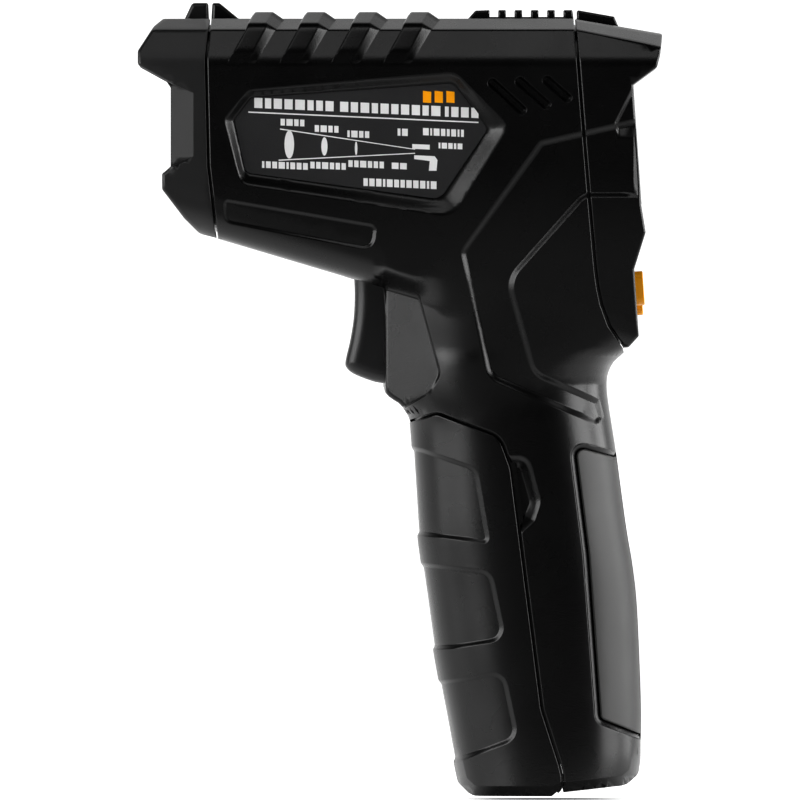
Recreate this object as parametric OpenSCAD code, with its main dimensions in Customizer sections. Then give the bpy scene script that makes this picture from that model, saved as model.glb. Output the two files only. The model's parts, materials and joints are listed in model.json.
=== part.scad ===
// Pistol-grip infrared thermometer.
// +Z is up, -X is the way it points, and Y = 0 is the plane where the two
// housing halves meet. The origin is at the middle of the grip.

/* [Shells] */
// Half width of the head across its side walls
head_half = 22.5; // [22:0.1:23]
// Half width of the grip at its thickest
grip_half = 18.5; // [18.2:0.1:19]
// Wall thickness of the moulded shells
wall = 2.2; // [2:0.1:2.4]
// Width of the visible joints between shells
seam = 0.5; // [0.3:0.1:0.6]

/* [Optics] */
// Height of the sensor's optical axis
optic_z = 96; // [95:0.5:97]
// Radius of the infrared lens
lens_r = 8; // [7:0.1:8.2]
// Height of the laser pointer's axis
laser_z = 109.6; // [109.5:0.1:110]

/* [Display and keys] */
// Width of the display window
window_w = 34; // [28:1:35]
// Height of the display window
window_h = 23; // [18:1:23]
// How far a key goes in
key_travel = 0.6; // [0.3:0.1:0.7]

/* [Grip] */
// Backward lean of the grip, in degrees
grip_lean = 6.1; // [5.8:0.1:6.4]
// Radius of a AAA cell
cell_r = 5.25; // [5:0.05:5.25]
// Length of a AAA cell, with its nub
cell_len = 44.5; // [44:0.1:44.5]
// Radius of the battery door's hinge pin
door_pin_r = 1; // [0.8:0.1:1.2]

/* [Trigger] */
// Width of the trigger blade
trigger_w = 14; // [12:0.5:14]
// Radius of the trigger's pivot pin
trigger_pin_r = 1.25; // [1:0.05:1.5]

/* [Hidden] */

$fn = 48;
eps = 0.01;
big = 200;
play = 0.05;         // radial clearance of a running fit
lap = 0.15;          // clearance between parts that sit side by side
rear_tilt = 3.9;     // lean of the display and key faces, in degrees

// Key levels, from the foot of the grip to the top of the head
foot_z = -40.3;
top_z = 119.3;
shoulder_z = 110.5;  // where the side wall starts to lean in
crown_z = 116.9;     // where the top chamfer starts
crown_half = 19.8;
flat_half = 12.5;    // half width of the flat top

// Side view of the joint between nose and housing, top to bottom
nose_seam = [[-66.0, 123.5], [-66.9, 111], [-66.4, 89], [-64.8, 75.2], [-64.4, 70]];
// Side view of the joint between housing and rear cover, top to bottom
rear_seam = [[8.4, 123.5], [10.2, 100.6], [11.7, 82.3], [13, 67.7], [14, 61.4],
    [15.7, 56.2], [18.8, 51.4], [22, 47.5]];
// Corners of the head in side view: x, z, corner radius
head_outline = [[-70, top_z, 0], [14, top_z, 0], [14, 61, 0], [19.5, 50.6, 0],
    [15.6, 46, 0], [10, 40, 0], [-20, 44, 0], [-24, 62.1, 0], [-66, 74.6, 0],
    [-70, 76, 0]];
// Corners of the grip, its collar and the battery door in side view
grip_outline = [[-30.5, 64, 0], [-30.5, 43, 1], [-26.2, 40.2, 0.8], [-24.7, 37.2, 0],
    [-25.2, 36.7, 0.2], [-23.4, 12, 60], [-20.5, -10, 60], [-16.1, -31.5, 12],
    [-14.8, foot_z, 4.5], [3, foot_z, 0.5], [5.2, -39.45, 0.5], [20.3, -38.1, 3.2], [21.9, -29, 6],
    [20.6, 0, 120], [16.6, 31.5, 60], [14.7, 43.5, 6], [19.3, 50.4, 0.5],
    [12, 66, 0]];
// Side view of the joint around the battery door
door_pivot = [3.4, -37.3];
foot_r = 3.2;        // the door's foot is round, about its pin
door_corners = [[-40, 36.9, 0], [-25, 37.1, 1], [-19.6, 38.6, 3], [-6.4, 33.6, 5],
    [-4.2, 27, 6], [2.2, -23.8, 6], [5.7, -34, 1.5], [6.5, -36.4, 0]];
// The recess in each side wall that carries a printed label
label_outline = [[-62.2, 98.5, 1.5], [-58, 103.9, 2], [-15.8, 107.2, 3],
    [-6.8, 96.8, 2], [-17.4, 80.2, 4], [-59.4, 86.3, 2.5]];
// The long bent channel that runs from the rear seam down to the grip
channel_outline = [[14, 97.2, 0], [1.4, 93.7, 1], [-14.6, 73.2, 5], [-8.6, 45, 4],
    [14.6, 35.9, 1.4], [14.8, 40.2, 0.8], [0, 46.6, 5], [-4.2, 64.8, 6], [14, 83.8, 0]];
// The shallow panel under the label
chin_outline = [[-63.4, 82.3, 1], [-63.4, 77.2, 2.2], [-32.2, 71.3, 2.6],
    [-31.8, 77, 1.5]];
// Finger panels of the battery door, from the top
finger_panels = [
    [[-30, 32.7, 0], [-22.5, 31.1, 1], [-11.2, 27.2, 3.2], [-8.4, 11, 3.2], [-12.6, 12, 1],
        [-30, 14, 0]],
    [[-30, 8.3, 0], [-19.7, 7.3, 1], [-8.2, 6, 3.2], [-5.2, -8.4, 3.2], [-16, -10, 1],
        [-30, -11, 0]],
    [[-30, -18, 0], [-16, -16.2, 1], [-5.6, -14.4, 3.2], [-2.6, -28.6, 3.4], [-10.4, -31.6, 1],
        [-30, -38, 0]]];
// The soft panel at the back of the grip
insert_outline = [[30, 30.9, 0], [8.8, 31.3, 1.6], [15.2, -24.4, 3], [30, -31, 0]];
// The recess beside the door's edge where a nail pulls it open
pull_outline = [[-8, 28.6, 0], [0.8, 28.4, 2.2], [2, 19, 2.6], [-1.6, 14.4, 1], [-8, 14.4, 0]];
vent_pitch = 5.8;
rib_pitch = 10.7;

trigger_pivot = [-32.6, 71];
trigger_turn = 7;
// Corners of the trigger in side view, from the hub down the finger face
trigger_outline = [[-36.4, 70.2, 1], [-36.9, 62, 30], [-36.6, 57, 30], [-38.6, 48.2, 1.4],
    [-36, 45.6, 4], [-31, 44.5, 1], [-27, 44.4, 1], [-27, 66, 2], [-29.2, 72, 1]];
spring_z = 60.4;
spring_end = -19.4;  // where the trigger's spring is held
switch_z = 53;

// Housing screws: x, z, and the y of the seat under the head
screw_places = [[-46, 113, 12], [-59, 79.8, 12], [-9, 112.4, 12], [-16, 71, 12],
    [9, 40.6, 9], [15.2, -31, 8]];
screw_r = 1.2;
screw_len = 18;
boss_r = 3;

function unit(v) = v / norm(v);
function flat(p) = [p.x, p.y];
// The arc that rounds corner q, between its neighbours p and s, as n + 1 points
function arc(p, q, s, r, n) =
    let (u = unit(p - q), w = unit(s - q), half = acos(u * w) / 2,
        c = q + unit(u + w) * r / sin(half), t = r / tan(half),
        a = q + u * t - c, b = q + w * t - c, start = atan2(a.y, a.x),
        sweep = ((atan2(b.y, b.x) - start + 540) % 360) - 180)
    [for (i = [0:n]) c + r * [cos(start + sweep * i / n), sin(start + sweep * i / n)]];
// A closed outline whose corners [x, y, r] are rounded to radius r
function rounded(corners, n = 4) = let (m = len(corners)) [for (i = [0:m - 1])
    let (q = corners[i], p = corners[(i + m - 1) % m], s = corners[(i + 1) % m])
    each (q[2] > 0 ? arc(flat(p), flat(q), flat(s), q[2], n) : [flat(q)])];
door_edge = concat([for (p = rounded(concat(door_corners, [[-40, -42, 0]]))) if (p.y > -42) p],
    [for (a = [5:-15:-85]) door_pivot + foot_r * [cos(a), sin(a)]], [[3, -42], [-40, -42]]);
function mirrored(half) = concat(half, [for (i = [len(half) - 1:-1:0])
    [-half[i].x, half[i].y]]);
// A point of the leaning grip, in row coordinates
function grip_point(x, y, z) = [-0.5 + x * cos(grip_lean) - z * sin(grip_lean), y,
    x * sin(grip_lean) + z * cos(grip_lean)];

// A side-view outline, made solid from y0 to y1
module side(points, y0, y1) {
    translate([0, y1, 0]) rotate([90, 0, 0]) linear_extrude(y1 - y0) polygon(points);
}
// A front-view outline of [y, z] points, made solid from x0 to x1
module along_x(points, x0, x1) {
    translate([x0, 0, 0]) rotate([90, 0, 90]) linear_extrude(x1 - x0) polygon(points);
}
module rod(r, from, to) {
    v = to - from;
    translate(from) rotate([0, acos(v.z / norm(v)), atan2(v.y, v.x)]) cylinder(r = r, h = norm(v));
}
module rod_x(r, x0, x1, y, z) { rod(r, [x0, y, z], [x1, y, z]); }
module rod_y(r, y0, y1, x, z) { rod(r, [x, y0, z], [x, y1, z]); }
module block(low, high) { translate(low) cube(high - low); }
// A wire or spring: a tube of 6 sides swept along points
module tube(path, r, sides = 6) {
    n = len(path);
    rings = [for (i = [0:n - 1])
        let (t = unit(path[min(i + 1, n - 1)] - path[max(i - 1, 0)]),
            a = unit(cross(t, abs(t.z) > 0.9 ? [0, 1, 0] : [0, 0, 1])), b = cross(t, a))
        for (k = [0:sides - 1]) path[i] + r * (cos(360 * k / sides) * a
            + sin(360 * k / sides) * b)];
    walls = [for (i = [0:n - 2]) for (k = [0:sides - 1]) let (m = (k + 1) % sides)
        each [[i * sides + k, i * sides + m, (i + 1) * sides + m],
            [i * sides + k, (i + 1) * sides + m, (i + 1) * sides + k]]];
    polyhedron(rings, concat(walls, [[for (k = [sides - 1:-1:0]) k]],
        [[for (k = [0:sides - 1]) (n - 1) * sides + k]]), 2);
}
// Points of a coil from 0 to length along X
function coil(r, length, turns, taper = 1, steps = 10) = [for (i = [0:turns * steps])
    let (s = i / (turns * steps), rr = r * (1 + (taper - 1) * s))
    [length * s, rr * cos(360 * i / steps), rr * sin(360 * i / steps)]];
function moved(path, v) = [for (p = path) p + v];
// Puts children, drawn on a face that looks along +X, onto the leaning rear face
module on_rear(x, z) { translate([x, 0, z]) rotate([0, -rear_tilt, 0]) children(); }
module on_grip() { translate([-0.5, 0, 0]) rotate([0, -grip_lean, 0]) children(); }

// Everything ahead of a joint line, or behind it, down to the height low
function ahead_of(line, shift, low = 40) = let (end = line[len(line) - 1])
    concat([for (p = line) p + [shift, 0]],
        low < end.y ? [[60, end.y], [60, low]] : [], [[-big, low], [-big, 123.5]]);
function behind(line, shift, low = 47.5) = let (end = line[len(line) - 1])
    concat([for (p = line) p + [shift, 0]], [[end.x, low], [big, low], [big, 123.5]]);

head_section = mirrored([[flat_half, top_z], [crown_half, crown_z],
    [head_half, shoulder_z], [head_half, 80], [grip_half + 1.1, 52], [grip_half + 1.1, 30]]);
keel_r = 6;
keel_section = mirrored(concat([[head_half, 90]], [for (i = [0:5]) [head_half - keel_r
    + keel_r * cos(-18 * i), keel_r + keel_r * sin(-18 * i)]]));
keel_slope = 16.6;

// The head's outer solid, cut in by inset on every side
module head_solid(inset = 0) {
    intersection() {
        side_inset(rounded(head_outline), inset, head_half - inset);
        along_x(inset_section(head_section, inset), -big, big);
        // rounds the lower edges of the barrel, along its sloping underside
        translate([-40, 0, 66.9 + inset]) rotate([0, keel_slope, 0])
            along_x(inset_section(keel_section, inset), -80, 80);
    }
}
module side_inset(points, inset, half) {
    translate([0, half, 0]) rotate([90, 0, 0]) linear_extrude(2 * half)
        offset(delta = -inset) polygon(points);
}
function inset_section(section, inset) = [for (p = section)
    [p.x - sign(p.x) * inset, p.y - (p.y > crown_z ? inset : 0)]];

// The grip: an oval bar along its leaning axis, trimmed to the side view
module grip_solid(inset = 0) {
    intersection() {
        side_inset(rounded(grip_outline), inset, grip_half);
        union() {
            on_grip() translate([0, 0, -48]) linear_extrude(116) grip_section(inset);
            collar(inset);
        }
    }
}
module grip_section(inset) {
    r = 13 - inset;
    for (s = [-1, 1], t = [-1, 1])
        translate([s * (21.9 - 13), t * (grip_half - 13)]) circle(r);
    square([2 * (21.9 - 13), 2 * (grip_half - inset)], center = true);
    square([2 * (21.9 - inset), 2 * (grip_half - 13)], center = true);
}
// The block in front of the grip that the trigger slides into
module collar(inset) {
    half = 13.5 - inset;
    block([-34, -half, 38], [-14, half, 70]);
}
module body_outer() {
    head_solid();
    grip_solid();
    // sight bumps in front, louvred ridge behind
    intersection() {
        side([[-75, 118], [-62, 118], [-59.6, 119.3], [-64, 122.6], [-75, 122.6]], -5, 5);
        block([-big, -20, 100], [0, 20, 130]);
    }
    ridge();
    ribs();
}
module ridge() {
    difference() {
        side([[-13, 119], [-11, 121.2], [14, 121.2], [14, 119]], -8, 8);
        for (i = [0:4]) block([-8.6 + i * 3.35, -9, 119.9], [-6.8 + i * 3.35, 9, 123]);
    }
}
// Four straps that lie across each top edge of the head
module ribs() {
    for (i = [0:3], s = [-1, 1]) intersection() {
        side(rounded([for (p = [[-62.1, 110.4, 0], [-56.7, 121, 0.8], [-50.4, 121, 0.8],
            [-55.6, 110.4, 0]]) p + [i * rib_pitch, 0, 0]]),
            s < 0 ? -30 : 4, s < 0 ? -4 : 30);
        along_x(mirrored([[flat_half + 1, 120.7], [crown_half + 0.9, 117.7],
            [head_half, shoulder_z + 1], [head_half, 100]]), -big, big);
    }
}
module body_inner() {
    head_solid(wall);
    grip_solid(wall);
    block([-19, -15, 50], [12, 15, 70]);
    // open at the back, where the rear cover fits
    intersection() {
        along_x(rear_inner, 0, 30);
        block([0, -30, 57], [30, 30, 130]);
    }
}
// Everything that is cut from the outside of a half: s is -1 on the left
module side_features(s) {
    y = s * head_half;
    side(rounded(label_outline), min(y, y - s * 1.2), max(y + s, y - s * 1.2));
    side(rounded(chin_outline), min(y + s, y - s * 0.6), max(y + s, y - s * 0.6));
    for (i = [0:2]) side(rounded([for (p = [[-9.7, 105.7, 0.7], [-2.3, 99, 0.9],
        [-0.8, 100.7, 0.9], [-8, 107.3, 0.7]]) p + [i * vent_pitch, i * 0.6, 0]]),
        min(y + s, y - s), max(y + s, y - s));
}
// The skin of the body under an outline, to the given depth, for cutting away
module skin(points, depth) {
    difference() {
        side(points, -30, 30);
        head_solid(depth);
        grip_solid(depth);
    }
}
module channel(s) {
    skin(rounded(channel_outline), 0.8);
    side(rounded(pull_outline), min(s * 30, s * (grip_half - 1.6)),
        max(s * 30, s * (grip_half - 1.6)));
}
module screw_boss(p, s) {
    seat = p[2];
    if (s > 0) {
        rod_y(boss_r, lap / 2, seat, p.x, p.y);
    } else {
        rod_y(boss_r, -grip_half + 1, -lap / 2, p.x, p.y);
    }
}
module screw_bore(p, s) {
    if (s > 0) {
        rod_y(screw_r + 0.15, -1, p[2] + 1, p.x, p.y);
        rod_y(2.6, p[2], 40, p.x, p.y);
    } else {
        rod_y(screw_r + play, -screw_len + p[2] - 0.4, 1, p.x, p.y);
    }
}
// One half of the clamshell: s is -1 on the left, 1 on the right
module housing_half(s) {
    ear(s);
    half_space = s < 0 ? [[-big, -60, -60], [big, 0, 140]] : [[-big, 0, -60], [big, 60, 140]];
    difference() {
        intersection() {
            union() {
                difference() {
                    body_outer();
                    body_inner();
                }
                intersection() {
                    union() {
                        for (p = screw_places) difference() {
                            screw_boss(p, s);
                        }
                        for (p = screw_places) if (s > 0)
                            rod_y(boss_r + 1, p[2] - 2, 21, p.x, p.y);
                    }
                    union() { head_solid(1); grip_solid(1); }
                }
                // seat of the trigger's pin
                rod_y(3, s < 0 ? -21 : 7.6, s < 0 ? -7.6 : 21, trigger_pivot.x, trigger_pivot.y);
                // rib that the trigger's spring pushes against
                block([spring_end, min(0, s * 20), spring_z - 4], [spring_end + 1.6,
                    max(0, s * 20), spring_z + 4]);
                // ledge behind the trigger's switch, open in the middle for its leads
                block([-15.4, min(s * 1.2, s * 17), 47.5], [-14, max(s * 1.2, s * 17), 57]);
            }
            block(half_space[0], half_space[1]);
            side(behind(nose_seam, seam / 2, -60), -big, big);
            side(ahead_of(rear_seam, -seam / 2, -60), -big, big);
        }
        side_features(s);
        channel(s);
        for (p = screw_places) screw_bore(p, s);
        rod_y(trigger_pin_r, -16, 16, trigger_pivot.x, trigger_pivot.y);
        // slot for the trigger, in the barrel's underside and the collar
        side([[-38.4, 64], [-38.4, 74], [-20.5, 74], [-20.5, 43.8], [-33, 43.8], [-33, 50]],
            -trigger_w / 2 - 0.4, trigger_w / 2 + 0.4);
        // room for the battery door and its knuckles
        door_room();
        // seat of the soft grip panel
        intersection() {
            side(rounded(insert_outline), -30, 30);
            difference() { grip_solid(-1); grip_solid(1.2); }
        }
    }
}
module door_room() {
    side(door_edge, -big, big);
    rod_y(foot_r + 0.25, -big, big, door_pivot.x, door_pivot.y);
}
module door_region(gap) {
    translate([0, 60, 0]) rotate([90, 0, 0]) linear_extrude(120)
        offset(delta = -gap) polygon(door_edge);
}
// The ear of a housing half that holds one end of the door's pin
module ear(s) {
    near = 14.5;
    far = 15.9;
    difference() {
        union() {
            rod_y(2, min(s * near, s * far), max(s * near, s * far), door_pivot.x, door_pivot.y);
            side([[door_pivot.x, -35.35], [8, -34], [12, -34], [12, -38.4], [7.6, -39],
                [door_pivot.x, -39.25]], min(s * near, s * far), max(s * near, s * far));
            block([8, min(s * near, s * 17), -38.6], [12, max(s * near, s * 17), -34]);
        }
        rod_y(door_pin_r, -15.5, 15.5, door_pivot.x, door_pivot.y);
    }
}

module left_housing() { color([0.05, 0.05, 0.05]) housing_half(-1); }
module right_housing() { color([0.05, 0.05, 0.05]) housing_half(1); }

nose_outline = [[-60, top_z, 0], [-75.9, top_z, 1], [-78.9, 116.4, 1], [-80.8, 112, 1.5],
    [-81, 107.6, 1.5], [-74.2, 104.8, 1], [-74.2, 89.4, 0.5], [-76, 88.3, 1],
    [-76.1, 84.2, 1], [-69.2, 76.8, 3], [-60, 72.9, 0]];
nose_cavity = mirrored([[11, 113.6], [16.6, 108], [16.6, 86], [11, 80.6]]);
module nose_bezel() {
    color([0.09, 0.09, 0.09]) difference() {
        union() {
            intersection() {
                side(rounded(nose_outline), -head_half, head_half);
                along_x(head_section, -big, big);
                translate([-40, 0, 66.9]) rotate([0, keel_slope, 0])
                    along_x(keel_section, -80, 80);
                side(ahead_of(nose_seam, -seam / 2), -big, big);
            }
            side([[-72, 118.5], [-71.1, 121], [-70, 122.8], [-66.25, 122.8], [-66.3, 118.5]], -5, 5);
        }
        // recess in front, and the hollow behind the plate
        along_x(nose_cavity, -90, -72.4);
        along_x(mirrored([[12, 114.6], [17.6, 109], [17.6, 85], [12, 79.6]]), -72.5, -60);
        // corners of the front face, cut back to the side walls between hood and lip
        for (s = [-1, 1]) along_z_wedge(s);
    }
}
// The slanted cheek beside the front plate, on side s
module along_z_wedge(s) {
    side_z = [[-90, s * 18.4], [-74.2, s * 18.4], [-69.2, s * 22.6], [-69.2, s * 30], [-90, s * 30]];
    translate([0, 0, 90.2]) linear_extrude(14) polygon(side_z);
}
module nose_plate() {
    color([0.06, 0.06, 0.06]) difference() {
        along_x(mirrored([[11.9, 114.4], [17.4, 108.9], [17.4, 85.1], [11.9, 79.7]]),
            -72.35, -70);
        rod_x(lens_r + 1.7, -80, -60, 0, optic_z);
        rod_x(3.2, -80, -60, 0, laser_z);
    }
}
module lens_ring() {
    color([0.12, 0.12, 0.12]) difference() {
        rod_x(lens_r + 1.6, -74, -69, 0, optic_z);
        rod_x(lens_r, -75, -70.4, 0, optic_z);
        rod_x(lens_r - 1, -75, -60, 0, optic_z);
    }
}
module ir_lens() {
    color([0.16, 0.13, 0.18]) translate([-71, 0, optic_z]) rotate([0, -90, 0])
        intersection() {
            cylinder(r = lens_r - play, h = 2);
            translate([0, 0, -28.6]) sphere(r = 30.4, $fn = 96);
        }
}
module sensor_barrel() {
    color([0.75, 0.6, 0.3]) difference() {
        union() {
            rod_x(lens_r + 1, -68.9, -48, 0, optic_z);
            rod_x(5.2, -48.1, -43, 0, optic_z);
        }
        rod_x(lens_r - 1, -70, -50, 0, optic_z);
        rod_x(4.2, -51, -42, 0, optic_z);
    }
}
module thermopile() {
    color("silver") {
        rod_x(4.1, -48.5, -44, 0, optic_z);
        for (a = [45:90:315])
            rod_x(0.25, -44.1, -38, 1.8 * cos(a), optic_z + 1.8 * sin(a));
    }
}
module laser_module() {
    color([0.72, 0.55, 0.25]) {
        rod_x(3, -70.4, -53, 0, laser_z);
        rod_x(2.4, -53.1, -50.5, 0, laser_z);
    }
}
module laser_window() {
    color([0.5, 0.1, 0.1, 0.6]) rod_x(3.1, -71.6, -70.5, 0, laser_z);
}

rear_outline = [[4, 119.3, 0], [9.5, 119.2, 0], [26.9, 116.2, 0.6], [26.2, 111, 3],
    [25.5, 109.2, 1], [20.7, 105.8, 0], [22.5, 81.2, 3], [23.3, 75.4, 1.5], [20.9, 67.9, 1],
    [21.9, 54.1, 0.5], [19.6, 51.3, 0.5], [17, 50, 0], [4, 60, 0]];
rear_inner = mirrored([[flat_half - 1, 116], [crown_half - 2, 114],
    [head_half - wall, shoulder_z - 1], [head_half - wall, 80.5],
    [grip_half + 1.1 - wall, 52], [grip_half + 1.1 - wall, 40]]);
key_seat = [21.3, 63];        // x and z of the middle of the key face
window_seat = [21.65, 93.4];  // x and z of the middle of the display face
module rear_cover() {
    color([0.11, 0.11, 0.11]) difference() {
        union() {
            intersection() {
                side(rounded(rear_outline), -head_half, head_half);
                along_x(head_section, -big, big);
                side(behind(rear_seam, seam / 2), -big, big);
            }
            side([[9.4, 119], [9.2, 121.2], [17.2, 119.7], [18, 117]], -8, 8);
        }
        intersection() {
            side_inset(rounded(rear_outline), 2, head_half);
            along_x(rear_inner, -big, big);
            side([[-90, 47], [-90, 130], [18.6, 130], [18.6, 103.6], [20.4, 75],
                [19.2, 66], [20, 47]], -30, 30);
        }
        on_rear(window_seat.x, window_seat.y) {
            block([-0.9, -window_w / 2 - 1, -window_h / 2 - 1],
                [3, window_w / 2 + 1, window_h / 2 + 1]);
            block([-5, -window_w / 2 + 1, -window_h / 2 + 1],
                [3, window_w / 2 - 1, window_h / 2 - 1]);
        }
        on_rear(key_seat.x, key_seat.y) {
            for (s = [-1, 1]) key_shape(s, 0.25, -6, 6);
            key_shape(0, 0.25, -6, 6);
        }
    }
}
// The outline of one key on the key face, grown by a gap: side -1, 0 (mode) or 1
module key_shape(s, gap, from, to) {
    rotate([90, 0, 90]) translate([0, 0, from]) linear_extrude(to - from)
        offset(delta = gap) polygon(rounded(s == 0
            ? [[-4.6, 3.6, 1.5], [4.6, 3.6, 1.5], [3.4, -4.6, 1.5], [-3.4, -4.6, 1.5]]
            : [[s * 6, 4.4, 1.2], [s * 13, 4.4, 1.6], [s * 12, -2.6, 2], [s * 4.9, -2.6, 1.2]]));
}
module key(s, height) {
    color([1, 0.68, 0.05]) on_rear(key_seat.x, key_seat.y) {
        key_shape(s, 0, -2.6, height);
        key_shape(s, 0.6, -3.4, -2.5);
        rod_x(1.2, -4.6, -3.3, s * 8.8, s == 0 ? -0.5 : 0.9);
    }
}
module left_key() { key(-1, 1.7); }
module right_key() { key(1, 1.7); }
module mode_key() { key(0, 1.3); }
module display_window() {
    color([0.05, 0.06, 0.07, 0.7]) on_rear(window_seat.x, window_seat.y)
        block([-0.85, -window_w / 2 - 0.9, -window_h / 2 - 0.9],
            [0, window_w / 2 + 0.9, window_h / 2 + 0.9]);
}
module display_bezel() {
    color([0.85, 0.85, 0.82]) on_rear(window_seat.x, window_seat.y) difference() {
        block([-7.6, -18, -12.4], [-3.2, 18, 12.4]);
        block([-6.6, -17, -11.4], [-3, 17, 11.4]);
        block([-8, -12, -8], [-6, 12, 8]);
    }
}
module lcd_panel() {
    color([0.2, 0.3, 0.25]) on_rear(window_seat.x, window_seat.y)
        block([-6.5, -16.9, -11.3], [-4, 16.9, 11.3]);
}
module lcd_flex() {
    color([0.8, 0.45, 0.1]) {
        on_rear(window_seat.x, window_seat.y) block([-10.6, -8, -6], [-6.55, 8, -5.7]);
        block([7.85, -8, 84.6], [11.4, 8, 87.3]);
    }
}
board = [6.2, 1.6]; // x of the front face, and thickness
module main_board() {
    color([0.05, 0.3, 0.12]) difference() {
        side_board(rounded([[-14, 48, 1], [14, 48, 1], [14, 66, 1], [18.5, 84, 1],
            [18.5, 108, 1], [-18.5, 108, 1], [-18.5, 84, 1], [-14, 66, 1]]));
        for (s = [-1, 1]) rod_x(1.25, 0, 20, s * 15, 104);
    }
}
module side_board(points) { along_x(points, board[0], board[0] + board[1]); }
module key_switches() {
    color("dimgray") for (s = [-1, 0, 1]) {
        z = s == 0 ? 62.4 : 63.8;
        block([board[0] + board[1], s * 8.8 - 3, z - 3], [board[0] + board[1] + 3.4, s * 8.8 + 3, z + 3]);
        rod_x(1.6, board[0] + board[1] + 3.3, 15.5, s * 8.8, z);
    }
}
module board_chips() {
    color([0.08, 0.08, 0.08]) {
        block([board[0] - 1.6, -7, 88], [board[0], 7, 102]);
        block([board[0] - 1.4, -14, 74], [board[0], -8, 79]);
        block([board[0] - 1.2, 4, 72], [board[0], 9, 78]);
        for (i = [0:5]) block([board[0] - 0.8, 10 + (i % 2) * 3, 86 + i * 2.4],
            [board[0], 11.6 + (i % 2) * 3, 87 + i * 2.4]);
    }
}
module buzzer() {
    color([0.1, 0.1, 0.1]) difference() {
        rod_x(4.5, 1.4, board[0], -10, 65);
        rod_x(1, 0, 3, -10, 65);
    }
}
module keypad_mat() {
    color([0.25, 0.25, 0.25]) on_rear(key_seat.x, key_seat.y) difference() {
        block([-5.6, -15, -6.2], [-4.6, 15, 6]);
        for (s = [-1, 0, 1]) rod_x(2.1, -8, -2, s * 8.8, s == 0 ? -0.5 : 0.9);
    }
}

module trigger() {
    color([0.07, 0.07, 0.07]) difference() {
        union() {
            side(rounded(trigger_outline), -trigger_w / 2, trigger_w / 2);
            rod_y(3.4, -trigger_w / 2, trigger_w / 2, trigger_pivot.x, trigger_pivot.y);
        }
        rod_y(trigger_pin_r + play, -10, 10, trigger_pivot.x, trigger_pivot.y);
        rod_x(2.6, -28.2, -20, 0, spring_z);
    }
}
module trigger_pin() {
    color("silver") rod_y(trigger_pin_r - 0.01, -15.9, 15.9, trigger_pivot.x, trigger_pivot.y);
}
module trigger_spring() {
    color("silver") tube(moved(coil(1.9, spring_end + 28.2 - 0.9, 7), [-27.75, 0, spring_z]), 0.3);
}
module trigger_switch() {
    color([0.1, 0.1, 0.12]) difference() {
        union() {
            block([-23.4, -3.2, switch_z - 4], [-15.5, 3.2, switch_z + 3]);
            for (z = [-2.5, 0.5]) block([-15.5, -0.6, switch_z + z], [-12.2, 0.6, switch_z + z + 0.6]);
        }
        rod_x(1.2 + play, -30, -19, 0, switch_z);
    }
}
module switch_plunger() {
    color([0.85, 0.2, 0.15]) rod_x(1.2, -26.8, -21.5, 0, switch_z);
}

module battery_door() {
    color([0.06, 0.06, 0.06]) difference() {
        union() {
            intersection() {
                difference() { grip_solid(); grip_solid(wall - 0.2); }
                door_region(seam / 2);
            }
            // knuckles round the hinge pin, and the webs that join them to the foot
            for (s = [-1, 1]) {
                y = min(s * 9, s * 14.2);
                intersection() {
                    grip_solid(0.05);
                    union() {
                        rod_y(2.6, y, y + 5.2, door_pivot.x, door_pivot.y);
                        block([-3, y, foot_z], [door_pivot.x, y + 5.2, door_pivot.y]);
                    }
                    door_region(seam / 2);
                }
                // snap tongues inside the housing's side walls
                intersection() {
                    block([-11, s > 0 ? 12.6 : -14, 24], [-1.2, s > 0 ? 14 : -12.6, 31]);
                    side(rounded([[-11, 31, 0], [-1.4, 30, 1], [-1.4, 25, 1], [-11, 24, 0]]), -20, 20);
                }
                block([-11, s > 0 ? 12.6 : -17.2, 24], [-8, s > 0 ? 17.2 : -12.6, 31]);
            }
        }
        for (panel = finger_panels) intersection() {
            side(rounded(panel), -30, 30);
            difference() { grip_solid(-1); grip_solid(0.6); }
        }
        rod_y(door_pin_r + play, -20, 20, door_pivot.x, door_pivot.y);
        // room for the ears of the housing
        for (s = [-1, 1]) rod_y(foot_r + 0.3, min(s * 14.3, s * 16.1),
            max(s * 14.3, s * 16.1), door_pivot.x, door_pivot.y);
    }
}
module door_pad() {
    color([0.2, 0.2, 0.2]) on_grip() block([-19.6, -4.5, -12], [-14.3, 4.5, 12]);
}
module door_pin() {
    color("silver") rod_y(door_pin_r - 0.01, -15.4, 15.4, door_pivot.x, door_pivot.y);
}
tray_x = -14.6;
cell_x = -8.6;
cell_y = 5.75;
cell_low = -20.4;
module battery_tray() {
    color([0.12, 0.12, 0.13]) on_grip() difference() {
        block([tray_x, -12.4, -27], [-1.6, 12.4, 31]);
        block([tray_x - 1, -11.3, -25.6], [-2.9, 11.3, 29.6]);
        for (y = [3, 5.2]) rod(0.75, [-4.1, y, 29], [-4.1, y, 32]);
    }
}
// One cell: nub is 1 if its positive end is up
module cell(y, nub) {
    low = nub > 0 ? cell_low : cell_low + 1;
    rod(cell_r, [cell_x, y, low], [cell_x, y, low + cell_len - 1]);
    tip = nub > 0 ? low + cell_len - 1 : cell_low;
    rod(1.9, [cell_x, y, tip - eps], [cell_x, y, tip + 1 + eps]);
}
module battery_cells() {
    color([0.15, 0.35, 0.6]) on_grip() {
        cell(-cell_y, 1);
        cell(cell_y, -1);
    }
}
module spring_contacts() {
    color("silver") on_grip() {
        contact_coil(-cell_y, -25.2, 4.45);
        contact_coil(cell_y, 29.2, -4.7);
    }
}
module contact_coil(y, z, length) {
    path = coil(3.6, length, 4, 0.5);
    tube([for (p = path) [cell_x, y, z] + [p.y, p.z, p.x]], 0.32);
}
module plate_contacts() {
    color([0.8, 0.78, 0.7]) on_grip() {
        plate_contact(-cell_y, 24.2, 29.5);
        plate_contact(cell_y, cell_low - 0.5, -25.5);
    }
}
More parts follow.
